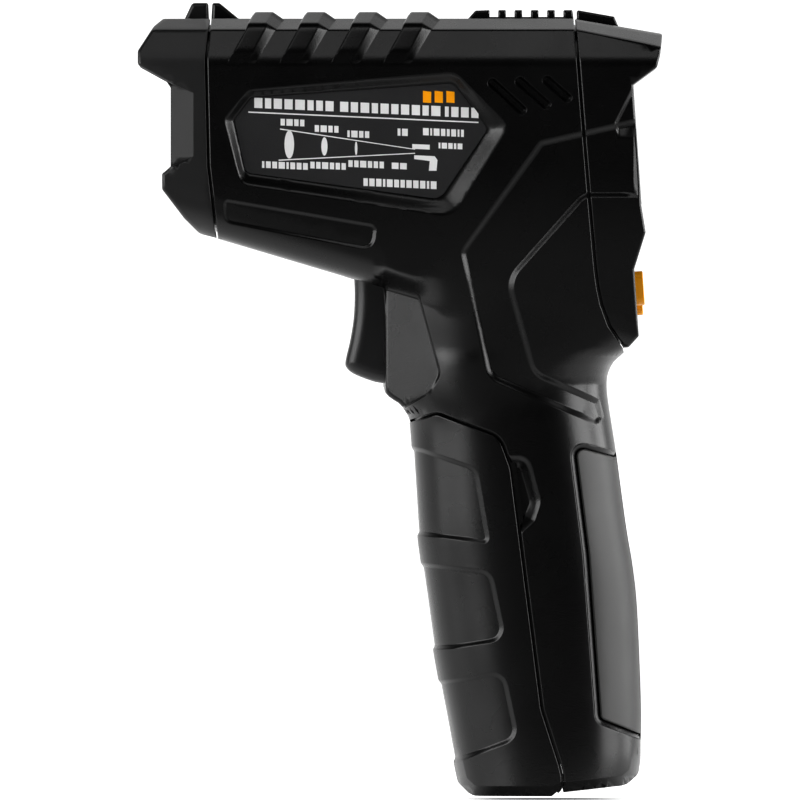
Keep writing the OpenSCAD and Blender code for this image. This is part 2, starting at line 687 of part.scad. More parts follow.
module plate_contact(y, near, far) {
    low = min(near, far);
    high = max(near, far);
    tip = near > 0 ? near : near - 0.1;
    block([cell_x - 3.5, y - 4, min(tip, tip + 0.4)], [-3.3, y + 4, max(tip, tip + 0.4)]);
    block([-3.4, y - 4, low], [-3, y + 4, high]);
}

module grip_insert() {
    color([0.14, 0.14, 0.14]) intersection() {
        difference() { grip_solid(0.1); grip_solid(1.15); }
        translate([0, 60, 0]) rotate([90, 0, 0]) linear_extrude(120)
            offset(delta = -0.5) polygon(rounded(insert_outline));
    }
}
module label(s) {
    y = s * (head_half - 1.2);
    color([0.09, 0.09, 0.1]) translate([0, max(y, y + s * 0.3), 0]) rotate([90, 0, 0])
        linear_extrude(0.3) offset(delta = -0.3) polygon(rounded(label_outline));
}
module left_label() { label(-1); }
module right_label() { label(1); }
module housing_screws() {
    color("silver") for (p = screw_places) difference() {
        union() {
            rod_y(screw_r, p[2] - screw_len, p[2] + eps, p.x, p.y);
            rod_y(2.3, p[2] + 0.02, p[2] + 1.8, p.x, p.y);
        }
        translate([p.x, p[2] + 0.9, p.y]) for (a = [0, 90]) rotate([0, a, 0])
            translate([-1.5, 0, -0.25]) cube([3, 2, 0.5]);
    }
}

// Wires, each a short lead between two terminals
battery_lead_path = [[-7.76, 3, 29.3], [-8.06, 3, 32.2], [-7, 4, 36], [-4, 6, 42], [0, 7, 50],
    [3, 7, 58], [5.4, 7, 62]];
module lead_pair(path, gap, r) {
    color([0.7, 0.1, 0.1]) tube(path, r);
    color([0.1, 0.1, 0.1]) tube(moved(path, [0, gap, 0]), r);
}
module battery_leads() { lead_pair(battery_lead_path, 2.2, 0.5); }
module switch_leads() {
    lead_pair([[-12, -1.6, 53], [-8, -3, 55], [-2, -4, 62], [3, -4, 68], [4.9, -4, 70]], 1.4, 0.4);
}
module sensor_leads() {
    lead_pair([[-38, -0.6, 96], [-30, -1, 97], [-18, -1, 99], [-6, -1, 104], [4, -1, 105.2]], 2, 0.4);
}
module laser_leads() {
    lead_pair([[-50.3, -0.8, 109], [-40, -2, 107.4], [-26, -6, 106], [-10, -8, 106], [4, -9, 105.4]],
        1.5, 0.35);
}

left_housing();
right_housing();
nose_bezel();
nose_plate();
lens_ring();
ir_lens();
sensor_barrel();
thermopile();
laser_module();
laser_window();
rear_cover();
display_window();
display_bezel();
lcd_panel();
lcd_flex();
keypad_mat();
left_key();
right_key();
mode_key();
main_board();
key_switches();
board_chips();
buzzer();
sensor_leads();
laser_leads();
trigger();
trigger_pin();
trigger_spring();
trigger_switch();
switch_plunger();
switch_leads();
battery_door();
door_pad();
door_pin();
battery_tray();
battery_cells();
spring_contacts();
plate_contacts();
battery_leads();
grip_insert();
left_label();
right_label();
housing_screws();
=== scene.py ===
"""Looks of the infrared thermometer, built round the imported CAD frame.

Lengths in the shape code are millimetres in the shared frame, and make() turns
them into metres. The side shells are relief surfaces: their half width is a
function of the place in the side view, with recesses and grooves cut into it.
"""
import json
import math

import bpy
import numpy as np
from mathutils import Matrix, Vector
from mathutils.geometry import delaunay_2d_cdt


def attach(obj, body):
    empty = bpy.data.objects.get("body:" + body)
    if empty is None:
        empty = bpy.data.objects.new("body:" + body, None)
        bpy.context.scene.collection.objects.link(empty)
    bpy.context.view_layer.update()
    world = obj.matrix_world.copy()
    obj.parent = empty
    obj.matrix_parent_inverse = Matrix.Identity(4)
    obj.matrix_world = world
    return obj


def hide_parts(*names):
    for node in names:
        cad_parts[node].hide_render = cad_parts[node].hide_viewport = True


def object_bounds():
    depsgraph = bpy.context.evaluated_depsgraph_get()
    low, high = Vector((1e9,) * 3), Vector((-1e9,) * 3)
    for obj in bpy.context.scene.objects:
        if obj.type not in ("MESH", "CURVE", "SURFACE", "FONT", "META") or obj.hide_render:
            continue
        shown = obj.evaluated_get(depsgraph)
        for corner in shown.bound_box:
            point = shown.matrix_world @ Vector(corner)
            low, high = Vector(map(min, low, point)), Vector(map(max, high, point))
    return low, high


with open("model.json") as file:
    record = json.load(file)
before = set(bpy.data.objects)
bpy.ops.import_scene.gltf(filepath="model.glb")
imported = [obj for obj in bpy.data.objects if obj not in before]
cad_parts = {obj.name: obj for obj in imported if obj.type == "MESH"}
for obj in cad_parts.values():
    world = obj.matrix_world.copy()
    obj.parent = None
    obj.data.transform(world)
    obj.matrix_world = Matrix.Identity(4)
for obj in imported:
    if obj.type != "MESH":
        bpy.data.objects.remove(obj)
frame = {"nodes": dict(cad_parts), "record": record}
cad_box = [list(c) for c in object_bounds()]
nodes = frame["nodes"]
MM = 0.001


# ------------------------------------------------------------ plane geometry
def unit(v):
    v = np.asarray(v, float)
    return v / np.linalg.norm(v)


def rounded(corners, n=5):
    """A closed outline from [x, z] or [x, z, radius] corners."""
    out = []
    m = len(corners)
    for i, q in enumerate(corners):
        r = q[2] if len(q) > 2 else 0
        p, s = np.array(corners[i - 1][:2], float), np.array(corners[(i + 1) % m][:2], float)
        q = np.array(q[:2], float)
        if r <= 0:
            out.append(q)
            continue
        u, w = unit(p - q), unit(s - q)
        half = math.acos(max(-1, min(1, float(u @ w)))) / 2
        t = min(r / math.tan(half), 0.49 * np.linalg.norm(p - q), 0.49 * np.linalg.norm(s - q))
        r = t * math.tan(half)
        c = q + unit(u + w) * r / math.sin(half)
        a, b = q + u * t - c, q + w * t - c
        start = math.atan2(a[1], a[0])
        sweep = (math.atan2(b[1], b[0]) - start + math.pi) % (2 * math.pi) - math.pi
        for k in range(n + 1):
            g = start + sweep * k / n
            out.append(c + r * np.array([math.cos(g), math.sin(g)]))
    return np.array(out)


def round_line(corners, n=5):
    """An open line with rounded corners: its two ends stay where they are."""
    far = [corners[0][0] - 500, corners[0][1]], [corners[-1][0] - 500, corners[-1][1]]
    ring = rounded([far[0], *corners, far[1]], n)
    return ring[1:-1]


def dense(line, step, closed=False):
    """The same line with no segment longer than step."""
    pts = list(line) + ([line[0]] if closed else [])
    out = []
    for a, b in zip(pts[:-1], pts[1:]):
        k = max(1, math.ceil(np.linalg.norm(np.subtract(b, a)) / step))
        out += [np.add(a, np.subtract(b, a) * i / k) for i in range(k)]
    if not closed:
        out.append(np.array(pts[-1]))
    return np.array(out)


def smooth_line(points, n=8):
    """A smooth curve through the points."""
    p = np.array(points, float)
    p = np.vstack([2 * p[0] - p[1], p, 2 * p[-1] - p[-2]])
    out = []
    for i in range(1, len(p) - 2):
        a, b, c, d = p[i - 1:i + 3]
        for k in range(n):
            t = k / n
            out.append(0.5 * (2 * b + (c - a) * t + (2 * a - 5 * b + 4 * c - d) * t * t
                              + (3 * b - a - 3 * c + d) * t ** 3))
    out.append(p[-2])
    return np.array(out)


def line_distance(P, line, closed=False):
    """Distance from each point of P to a line."""
    A = np.asarray(line, float)
    B = np.roll(A, -1, 0) if closed else A[1:]
    A = A if closed else A[:-1]
    best = np.full(len(P), 1e9)
    for a, b in zip(A, B):
        d = b - a
        t = np.clip(((P - a) @ d) / max(1e-12, d @ d), 0, 1)
        best = np.minimum(best, np.hypot(*(P - a - t[:, None] * d).T))
    return best


def inside(P, poly):
    """Which points of P are inside an outline."""
    x, z = P[:, 0], P[:, 1]
    odd = np.zeros(len(P), bool)
    for a, b in zip(poly, np.roll(poly, -1, 0)):
        cross = (a[1] > z) != (b[1] > z)
        with np.errstate(divide="ignore", invalid="ignore"):
            at = (b[0] - a[0]) * (z - a[1]) / (b[1] - a[1]) + a[0]
        odd ^= cross & (x < at)
    return odd


def depth_in(P, poly):
    """How far each point is inside an outline: 0 outside it."""
    lo, hi = poly.min(0) - 1e-6, poly.max(0) + 1e-6
    near = ((P >= lo) & (P <= hi)).all(1)
    out = np.zeros(len(P))
    if near.any():
        Q = P[near]
        out[near] = np.where(inside(Q, poly), line_distance(Q, poly, True), 0)
    return out


def turning(p):
    """The area inside an outline, negative where it runs clockwise."""
    return 0.5 * np.sum(p[:, 0] * np.roll(p[:, 1], -1) - np.roll(p[:, 0], -1) * p[:, 1])


def shrunk(poly, d):
    """A closed outline moved inward by d."""
    p = np.asarray(poly, float)
    keep = np.linalg.norm(p - np.roll(p, 1, 0), axis=1) > 1e-6
    p = p[keep]
    e0, e1 = p - np.roll(p, 1, 0), np.roll(p, -1, 0) - p
    e0 /= np.linalg.norm(e0, axis=1)[:, None]
    e1 /= np.linalg.norm(e1, axis=1)[:, None]
    side = np.sign(turning(p))
    n0 = np.stack([-e0[:, 1], e0[:, 0]], 1) * side
    n1 = np.stack([-e1[:, 1], e1[:, 0]], 1) * side
    m = n0 + n1
    m /= np.maximum(0.3, (m * n0).sum(1))[:, None]
    return p + m * d


def beside(line, d):
    """An open line moved sideways by d, to its left."""
    p = np.asarray(line, float)
    e = np.gradient(p, axis=0)
    e /= np.maximum(1e-9, np.linalg.norm(e, axis=1))[:, None]
    return p + np.stack([-e[:, 1], e[:, 0]], 1) * d


def ramp(t):
    """A smooth step from 0 to 1."""
    t = np.clip(t, 0, 1)
    return t * t * (3 - 2 * t)


def smin(a, b, k):
    """The lesser of two heights, blended over a width of k."""
    h = np.clip(0.5 + 0.5 * (b - a) / k, 0, 1)
    return b * (1 - h) + a * h - k * h * (1 - h)


def quarter(d, r):
    """Height lost to a rounded edge of radius r, at distance d from it."""
    d = np.clip(d, 0, r)
    return r - np.sqrt(np.maximum(0, r * r - (r - d) ** 2))


# ------------------------------------------------------------- mesh building
class Mesh:
    """Collects points, their shading normals and faces, then makes one object."""

    def __init__(self):
        self.p, self.n, self.f = [], [], []

    def add(self, p, n, faces, flip=False):
        start = sum(len(a) for a in self.p)
        self.p.append(np.asarray(p, float))
        self.n.append(np.asarray(n, float))
        for f in faces:
            g = [start + int(i) for i in f]
            self.f.append(g[::-1] if flip else g)

    def merge(self, other):
        start = sum(len(a) for a in self.p)
        self.p += other.p
        self.n += other.n
        self.f += [[start + i for i in f] for f in other.f]
        return self

    def grid(self, p, n, closed=False, flip=False):
        """A sheet of points, rows by columns."""
        p, n = np.asarray(p, float), np.asarray(n, float)
        rows, cols = p.shape[:2]
        faces = []
        for i in range(rows - 1):
            for j in range(cols if closed else cols - 1):
                k = (j + 1) % cols
                faces.append([i * cols + j, i * cols + k, (i + 1) * cols + k, (i + 1) * cols + j])
        self.add(p.reshape(-1, 3), n.reshape(-1, 3), faces, flip)

    def sheet(self, p, closed=False, flip=False):
        """A grid whose shading normals come from its own shape."""
        p = np.asarray(p, float)
        du = np.gradient(p, axis=0)
        dv = np.roll(p, -1, 1) - np.roll(p, 1, 1) if closed else np.gradient(p, axis=1)
        n = np.cross(dv, du)
        n /= np.maximum(1e-9, np.linalg.norm(n, axis=2))[:, :, None]
        self.grid(p, -n if flip else n, closed, flip)

    def prism(self, outline, y0, y1, r1=0.0, step=1.5):
        """An outline run from y0 to y1, with its rim at y1 rounded by r1."""
        o = dense(outline, step, True)
        if turning(o) < 0:
            o = o[::-1]
        e = np.roll(o, -1, 0) - np.roll(o, 1, 0)
        nx, nz = e[:, 1], -e[:, 0]
        k = np.hypot(nx, nz)
        nx, nz = nx / k, nz / k
        rows = [[(x, y0, z) for x, z in o]]
        norms = [[(a, 0, b) for a, b in zip(nx, nz)]]
        for g in (0, 22, 45, 68, 90) if r1 else (0,):
            c, q = math.cos(math.radians(g)), math.sin(math.radians(g))
            ring = shrunk(o, r1 * (1 - c)) if r1 else o
            rows.append([(x, y1 - r1 * (1 - q), z) for x, z in ring])
            norms.append([(a * c, q, b * c) for a, b in zip(nx, nz)])
        self.grid(rows, norms, True, True)
        for row, sign in ((rows[0], -1), (rows[-1], 1)):
            v, f, _ = triangulate(np.array([(a, c) for a, _, c in row]), [], 1e9)
            pts = [(a, row[0][1], c) for a, c in v]
            self.add(pts, [(0, sign, 0)] * len(pts), f, flip=sign > 0)
        return self

    def mirrored(self):
        """Adds the same again on the other side of Y = 0."""
        other = Mesh()
        other.p, other.n, other.f = list(self.p), list(self.n), list(self.f)
        return self.merge(other.other_side())

    def other_side(self):
        """Turned over to the other side of Y = 0."""
        flip = np.array([1, -1, 1])
        self.p = [a * flip for a in self.p]
        self.n = [a * flip for a in self.n]
        self.f = [f[::-1] for f in self.f]
        return self

    def make(self, name, material, body, *replaced, slot=None):
        """The object, on its body and in place of the CAD nodes named last."""
        p, n = np.vstack(self.p), np.vstack(self.n)
        n /= np.maximum(1e-9, np.linalg.norm(n, axis=1))[:, None]
        mesh = bpy.data.meshes.new(name)
        mesh.from_pydata((p * MM).tolist(), [], self.f)
        mesh.polygons.foreach_set("use_smooth", [True] * len(mesh.polygons))
        mesh.materials.append(mat[material])
        mesh.normals_split_custom_set_from_vertices(n.tolist())
        obj = bpy.data.objects.new(name, mesh)
        bpy.context.scene.collection.objects.link(obj)
        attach(obj, body)
        if replaced:
            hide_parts(*replaced)


def triangulate(region, lines, step):
    """Triangles inside a side-view region, that keep to the given lines.

    lines: (points, closed). Returns points (n, 2), faces, boundary edges.
    """
    pts, edges = [], []

    def put(line, closed):
        start = len(pts)
        pts.extend(Vector((float(a), float(b))) for a, b in line)
        k = len(line)
        edges.extend((start + i, start + (i + 1) % k) for i in range(k if closed else k - 1))

    put(region, True)
    for line, closed in lines:
        put(line, closed)
    lo, hi = region.min(0), region.max(0)
    for j, z in enumerate(np.arange(lo[1] + step / 2, hi[1], step * 0.87)):
        row = np.array([(x, z) for x in np.arange(lo[0] + step / 2 + (j % 2) * step / 2, hi[0], step)])
        if len(row):
            pts.extend(Vector(q) for q in row[inside(row, region)].tolist())
    v, _, f, *_ = delaunay_2d_cdt(pts, edges, [], 0, 1e-5)
    V = np.array([(a.x, a.y) for a in v])
    F = np.array([t for t in f if len(t) == 3])
    F = F[inside(V[F].mean(1), region)]
    T = V[F]
    area = ((T[:, 1, 0] - T[:, 0, 0]) * (T[:, 2, 1] - T[:, 0, 1])
            - (T[:, 2, 0] - T[:, 0, 0]) * (T[:, 1, 1] - T[:, 0, 1]))
    F[area < 0] = F[area < 0][:, ::-1]
    F = F[np.abs(area) > 1e-9]
    count = {}
    for t in F:
        for a, b in ((t[0], t[1]), (t[1], t[2]), (t[2], t[0])):
            count[(a, b)] = count.get((a, b), 0) + 1
    rim = [e for e in count if (e[1], e[0]) not in count]
    used = np.unique(F)
    back = -np.ones(len(V), int)
    back[used] = np.arange(len(used))
    return V[used], back[F], [(back[a], back[b]) for a, b in rim]


def slopes(height, V, e=0.01):
    """Outward normals (x, y, z) of y = height(x, z)."""
    dx = (height(V + [e, 0]) - height(V - [e, 0])) / (2 * e)
    dz = (height(V + [0, e]) - height(V - [0, e])) / (2 * e)
    n = np.stack([-dx, np.ones(len(V)), -dz], 1)
    return n / np.linalg.norm(n, axis=1)[:, None]


MID_GAP = 0.02
ON_RIM = 0.03


def lowered(q, y, t):
    """A point moved a share t of the way down to a lower y."""
    return q + np.array([0, min(y - q[1], 0), 0]) * t


def shell(region, height, base, lines, step, thick, closing):
    """A relief surface over a side-view region, at +Y, with a thickness.

    base is the height without its recesses, which the inner skin follows.
    closing: (line, y_end, rows) for stretches of the rim where the surface goes on
    towards the middle plane instead of turning in at a joint.
    """
    V, F, rim = triangulate(region, lines, step)
    H, N = np.maximum(height(V), 0), slopes(height, V)
    B, NB = base(V), slopes(base, V)
    out = Mesh()
    P = np.stack([V[:, 0], H, V[:, 1]], 1)
    inward = NB * thick
    inward[:, [0, 2]] *= np.clip(line_distance(V, region, True) / (2 * thick), 0, 1)[:, None]
    I = np.stack([V[:, 0], B, V[:, 1]], 1) - inward
    I[:, 1] = np.clip(I[:, 1], MID_GAP, np.maximum(MID_GAP, H - 0.5 * thick))
    out.add(P, N, F, flip=True)
    out.add(I, -NB, F)
    mid = np.array([(V[a] + V[b]) / 2 for a, b in rim])
    kind = np.full(len(rim), -1)
    for k, (line, _, _) in enumerate(closing):
        kind[line_distance(mid, np.asarray(line)) < ON_RIM] = k
    for (a, b), k in zip(rim, kind):
        d = V[b] - V[a]
        outward = unit((d[1], 0, -d[0]))
        pa, pb, ia, ib = P[a], P[b], I[a], I[b]
        if k >= 0:
            end, rows = closing[k][1:]
            ea, eb = (end(pa[2]), end(pb[2])) if callable(end) else (end, end)
            if pa[1] > ea + 1e-3 or pb[1] > eb + 1e-3:
                ring = [[lowered(pa, ea, t), lowered(pb, eb, t)] for t in np.linspace(0, 1, rows + 1)]
                out.grid(ring, [[outward, outward]] * len(ring))
                deep = [[q - outward * thick for q in r] for r in ring]
                deep[0] = [ia, ib]
                out.grid(deep, [[-outward, -outward]] * len(deep), flip=True)
                pa, pb, ia, ib = *ring[-1], *deep[-1]
                outward = np.array([0, -1.0, 0])
        out.add([pa, pb, ib, ia], [outward] * 4, [[0, 1, 2, 3]])
    return out


# -------------------------------------------------- body surface, side view
NOSE_SEAM = [(-65.75, 119.3), (-66.65, 111), (-66.15, 89), (-64.45, 74.4)]
REAR_SEAM = [(8.75, 119.3), (10.2, 100.6), (11.7, 82.3), (13, 67.7), (13.5, 64),
             (14.2, 60.6), (15.8, 56.2), (18.9, 51.6)]
HOUSING_REAR = [(x - 0.25, z) for x, z in REAR_SEAM]
GRIP_FRONT = [(-29.5, 66), (-28.6, 54), (-28.0, 44), (-27.3, 40.6), (-26.3, 38.6), (-25.2, 36.8),
              (-24.4, 26), (-23.65, 14.2), (-23.1, 9.4), (-21.9, 1.0), (-20.5, -9.2),
              (-19.6, -14.6), (-17.9, -23.6), (-16.1, -33.4), (-15.3, -37.4), (-14.6, -41)]
GRIP_BACK = [(19.6, 62), (19.4, 52), (17.0, 49.1), (15.7, 46.6), (15.4, 44.1), (15.7, 40.7),
             (16.6, 34.9), (17.3, 30.3), (19.3, 15.5), (20.7, 7), (21.5, 0), (22.0, -9.5),
             (22.4, -20.6), (22.4, -28.8), (22.3, -33.6), (21.7, -38), (21, -42)]
front_table = smooth_line(GRIP_FRONT)
back_table = smooth_line(GRIP_BACK)
FOOT = round_line([(-16.2, -33.5), (-15.2, -37.6, 1.5), (-12.4, -40.3, 3), (4.4, -40.3),
                   (6.4, -39.5), (19.3, -38.1, 3), (21.9, -35.9, 2), (22.3, -33.4)], 4)


def front_x(z):
    return np.interp(-z, -front_table[:, 1], front_table[:, 0])


def back_x(z):
    return np.interp(-z, -back_table[:, 1], back_table[:, 0])


HEAD_HALF, GRIP_HALF, TOP = 22.4, 18.5, 119.3
UNDER_ROUND = 8.0


def under(P):
    """Height above the barrel's sloping underside."""
    return (P[:, 0] + 37.1) * 0.2857 + (P[:, 1] - 66.0) * 0.9583


def under_z(x, up=0):
    """The underside at x, or a line at a height above it."""
    return 66 - (x + 37.1) * 0.2981 + up / 0.9583


def head_side(P, fall=0):
    """Half width of the barrel above; fall lowers its upper chamfer."""
    z = P[:, 1]
    h = smin(HEAD_HALF + 0 * z, HEAD_HALF - (z - 110.5) * 0.422, 0.5)
    h = smin(h, 19.7 - (z + fall - 116.9) * 3.0, 0.7)
    return smin(h, HEAD_HALF - (80 - z) * 0.105, 1.0)


def head_half(P, fall=0):
    """Half width of the barrel, with its rounded underside."""
    u = under(P)
    return head_side(P, fall) - quarter(u, UNDER_ROUND) - np.where(u < 0, -u * 25, 0)


def grip_half(P, inset=0.0):
    """Half width of the grip, with its whole section drawn in by the inset."""
    x, z = P[:, 0], P[:, 1]
    a, b = front_x(z) + inset, back_x(z) - inset
    s = np.clip(np.abs(2 * x - a - b) / (b - a), 0, 1)
    # rounder below, boxy where the grip runs into the head
    n = np.where(2 * x < a + b, 2.2, 2.35 + 4 * ramp((z - 44) / 14))
    wide = GRIP_HALF + 1.7 * ramp((z - 38) / 26)
    h = (wide - inset) * np.maximum(1e-9, 1 - s ** n) ** (1 / n)
    over = np.maximum(np.maximum(a - x, x - b), 0)
    # the chamfer round the foot
    low = z < -30
    h[low] -= np.maximum(0, 2.0 - line_distance(P[low], FOOT)) * 0.9
    return h - over * 20


COLLAR_FRONT = -30.5
collar_low = [(-25.5, 37.9), (-26.1, 38.8), (-26.7, 39.7), (-27.4, 40.4), (-28.4, 41.0),
              (-29.4, 41.7), (-30.2, 42.6), (COLLAR_FRONT, 43.8)]
COLLAR = rounded([(-34, 80), (-34, 43), (-27.5, 39.2), (-21.3, 42.6, 2.0),
                  (-19.2, 46.4, 2.4), (-24.6, 66.0), (-26, 80)], 6)


def collar_half(P, base):
    """Adds the flat-sided collar that the trigger slides into."""
    lo, hi = COLLAR.min(0) - 1, COLLAR.max(0) + 1
    near = ((P > lo) & (P < hi)).all(1)
    h = base.copy()
    Q = P[near]
    if len(Q):
        d = line_distance(Q, COLLAR, True)
        t = np.where(inside(Q, COLLAR), 1, 1 - ramp(d / 0.7))
        back = Q[:, 0] - COLLAR_FRONT
        face = 10.9 + 0.39 * back - quarter(back, 1.0)
        face = face - quarter(line_distance(Q, np.array(collar_low)), 1.0)
        h[near] = base[near] * (1 - t) + face * t
    return h


def body_half(P):
    """Half width of barrel, collar and grip, blended into each other."""
    u = under(P)
    g = ramp((P[:, 0] + 32.2) / 2.4)
    barrel = head_half(P) * (1 - g) + head_side(P) * g
    side = ramp((P[:, 0] + 24) / 8)
    w = 1 - (1 - ramp((u + 0.4 + 2 * side) / (5 + 6 * side))) * g
    return barrel * w + collar_half(P, grip_half(P)) * (1 - w)


# recesses: (outline, width of the sloping wall, depth)
LABEL_OUT = rounded([(-63.3, 98.6, 1.5), (-58.2, 104.6, 2.2), (-15.8, 108.3, 3.6),
                     (-4.6, 97.0, 2.6), (-16.2, 78.4, 4.6), (-59.8, 85.2, 2.6)], 6)
LABEL_IN = rounded([(-61.2, 98.4, 1.0), (-57.8, 103.1, 1.5), (-16.0, 106.1, 2.2),
                    (-8.9, 96.6, 1.4), (-18.8, 82.0, 3.0), (-58.9, 87.5, 1.8)], 6)
LABEL_DEPTH = 1.9
LABEL_Y = HEAD_HALF - LABEL_DEPTH
INK_Y = LABEL_Y + 0.1
CHIN = rounded([(-63.4, 82.4, 1.0), (-63.4, 77.3, 2.2), (-32.4, 71.4, 2.6), (-31.7, 77.0, 1.5)], 6)
CHANNEL = rounded([(22, 98.9), (1.5, 94.2, 1.2), (-14.9, 71.6, 3), (-9.2, 45.4, 4.5),
                   (13.2, 35.7, 1.4), (15.1, 37.2, 0.8), (13.9, 41.2, 0.8), (1.0, 46.9, 4),
                   (-4.2, 65.4, 5), (11, 82.4, 3), (22, 82.4)], 6)
PULL = rounded([(-12, 29.8), (-0.6, 29.6, 3), (2.0, 20.0, 4), (0.6, 16, 2), (-2.4, 13.4, 1.2),
                (-12, 13.4)], 6)
SLOTS = []
for a, b in (((-8.9, 106.7), (-1.4, 99.8)), ((-3.3, 107.0), (3.6, 100.9)), ((2.3, 107.2), (7.9, 102.3))):
    d = unit(np.subtract(b, a))
    w = np.array([-d[1], d[0]]) * 1.05
    SLOTS.append(rounded([(*q, 0.9) for q in (a + w, b + w, b - w, a - w)], 4))
PANELS = [rounded([(-34, 33.2), (-22.5, 31.1), (-11.2, 27.2, 3.2), (-8.4, 11.0, 3.2),
                   (-12.6, 11.9), (-34, 14.4)], 6),
          rounded([(-34, 8.6), (-19.7, 7.3), (-8.2, 6.0, 3.2), (-5.2, -8.4, 3.2),
                   (-16, -10.1), (-34, -11.2)], 6),
          rounded([(-34, -18.6), (-16, -16.2), (-5.6, -14.4, 3.2), (-2.6, -28.6, 3.4),
                   (-10.4, -31.6), (-34, -40.4)], 6)]
SIDE_RECESSES = [(CHIN, 0.8, 0.55), (CHANNEL, 1.3, 0.9), (PULL, 2.4, 2.0)]
SIDE_RECESSES += [(s, 0.6, 1.1) for s in SLOTS]
PANEL_RECESSES = [(p, 0.9, 0.5) for p in PANELS]


def recess_depth(P, recesses):
    """Depth of the deepest of the recesses at each point."""
    d = np.zeros(len(P))
    for poly, width, deep in recesses:
        t = np.minimum(1, depth_in(P, poly) / width)
        d = np.maximum(d, deep * (0.6 * t + 0.4 * ramp(t)))
    return d


def label_depth(P):
    """Depth of the label's recess, with the wall between its two outlines."""
    lo, hi = LABEL_OUT.min(0), LABEL_OUT.max(0)
    near = ((P > lo) & (P < hi)).all(1)
    d = np.zeros(len(P))
    Q = P[near]
    if len(Q):
        a = depth_in(Q, LABEL_OUT)
        ins = inside(Q, LABEL_IN)
        b = np.where(ins, 0, line_distance(Q, LABEL_IN, True))
        t = np.where(a > 0, a / np.maximum(1e-9, a + b), 0)
        d[near] = LABEL_DEPTH * (0.75 * t + 0.25 * ramp(t))
    return d


def rim_loss(P, region, line, r):
    """Height lost to the rounded edge along a line on a region's rim."""
    return quarter(np.where(inside(P, region), line_distance(P, np.asarray(line)), 0), r)


def rings(poly, width):
    """Mesh lines round the sloping wall of a recess."""
    parts = (-0.06, 0, 0.1, 0.5, 0.9, 1, 1.08)
    return [(dense(shrunk(poly, width * t), 3, True), True) for t in parts]


def edge_rings(line, side, radius=0.35):
    """Mesh lines beside a joint, for its rounded edge."""
    return [(dense(beside(line, side * radius * t), 3), False) for t in (0.08, 0.3, 0.6, 1)]


# ----------------------------------------------------------------- housing
def hinge_arc(r, angles):
    """Points round the door's hinge, at angles in degrees."""
    return [(3.4 + r * math.cos(math.radians(a)), -37.3 + r * math.sin(math.radians(a)))
            for a in angles]


long_seam = round_line([(-25.1, 36.9), (-24.2, 37.2), (-19.6, 38.6, 3), (-6.4, 33.7, 5), (-4.0, 27, 6),
                        (2.3, -22.4, 6), (5.9, -33.6, 1.5), (6.5, -36.0)], 6)
SEAM_END = (6.45, -39.5)
door_seam = np.vstack([long_seam, hinge_arc(3.2, (10, -10, -24)), SEAM_END])
INSERT_DEEP = 1.2
insert_seam = dense(round_line([(30, 26.85), (7.5, 33.0, 2.6), (10.5, 9, 60), (13.0, -25.2, 2.4),
                                (30, -31.8)], 6), 1.0)
insert_area = np.vstack([insert_seam, [(40, -31.8), (40, 26.85)]])
foot_back = dense(FOOT, 1.5)[::-1]
under_line = [(x, under_z(x)) for x in (COLLAR_FRONT, -34.5, -38.4, -44, -50, -56, -61, -64.5)]


def back_at(*heights, inset=0.0):
    """Points on the back of the grip."""
    return [(float(back_x(z)) - inset, float(z)) for z in heights]


neck = [(18.7, 51.2), *back_at(*np.arange(50.8, 29.9, -1.0), 29.8)]
spine = back_at(29.6, *np.arange(28, -28, -2), -28.7)
back_low = [*back_at(-28.9, -30, -31, -32, -33), *foot_back[foot_back[:, 0] > 6.6]]
housing_region = np.vstack([dense(NOSE_SEAM[::-1], 3), dense(HOUSING_REAR, 3), neck, spine, back_low,
                            dense(door_seam[::-1], 3), collar_low,
                            [(COLLAR_FRONT, z) for z in np.arange(45, 64, 2)], under_line])


def housing_height(P):
    h = body_half(P)
    d = depth_in(P, insert_area)
    inset = 0.6 * np.clip(d / 0.9, 0, 1) + (INSERT_DEEP - 0.6) * ramp((d - 0.9) / 0.15)
    cut = d > 0
    h[cut] = np.maximum(grip_half(P[cut], inset[cut]), 0.02)
    h = h - recess_depth(P, SIDE_RECESSES) - label_depth(P)
    for line in (NOSE_SEAM, HOUSING_REAR, door_seam):
        h = h - rim_loss(P, housing_region, line, 0.35)
    near = (P[:, 0] > 5) & (P[:, 1] < 36) & ~cut
    h[near] -= quarter(line_distance(P[near], insert_seam), 0.2)
    return h


def side_lines():
    """Mesh lines along the recesses and the bends of the head's side."""
    lines = []
    for poly, width, _ in SIDE_RECESSES:
        lines += rings(poly, width)
    walls = [LABEL_OUT * (1 - t) + LABEL_IN * t for t in (0, 1, 0.25, 0.5, 0.75)]
    walls += [shrunk(LABEL_OUT, -0.12), shrunk(LABEL_IN, 0.12)]
    lines += [(dense(wall, 3, True), True) for wall in walls]
    bends = (109.2, 109.8, 110.2, 110.5, 110.8, 111.2, 111.8,
             116.6, 116.8, 117.0, 117.2, 118.2, 79.2, 80.3, 81.2)
    return lines + [([(-67, z), (12.5, z)], False) for z in bends]


def grip_rows(inset=0.0):
    """Lines down the grip, closer together towards its front and back."""
    lines = []
    z = np.arange(56, -41, -2.0)
    a, b = front_x(z) + inset, back_x(z) - inset
    for g in (88, 84, 79, 74, 68, 62, 55, 48, 40, 32, 24, 16, 8, 0):
        for side in (-1, 1):
            s = side * math.sin(math.radians(g))
            lines.append((np.stack([(a + b) / 2 + s * (b - a) / 2, z], 1), False))
    return lines


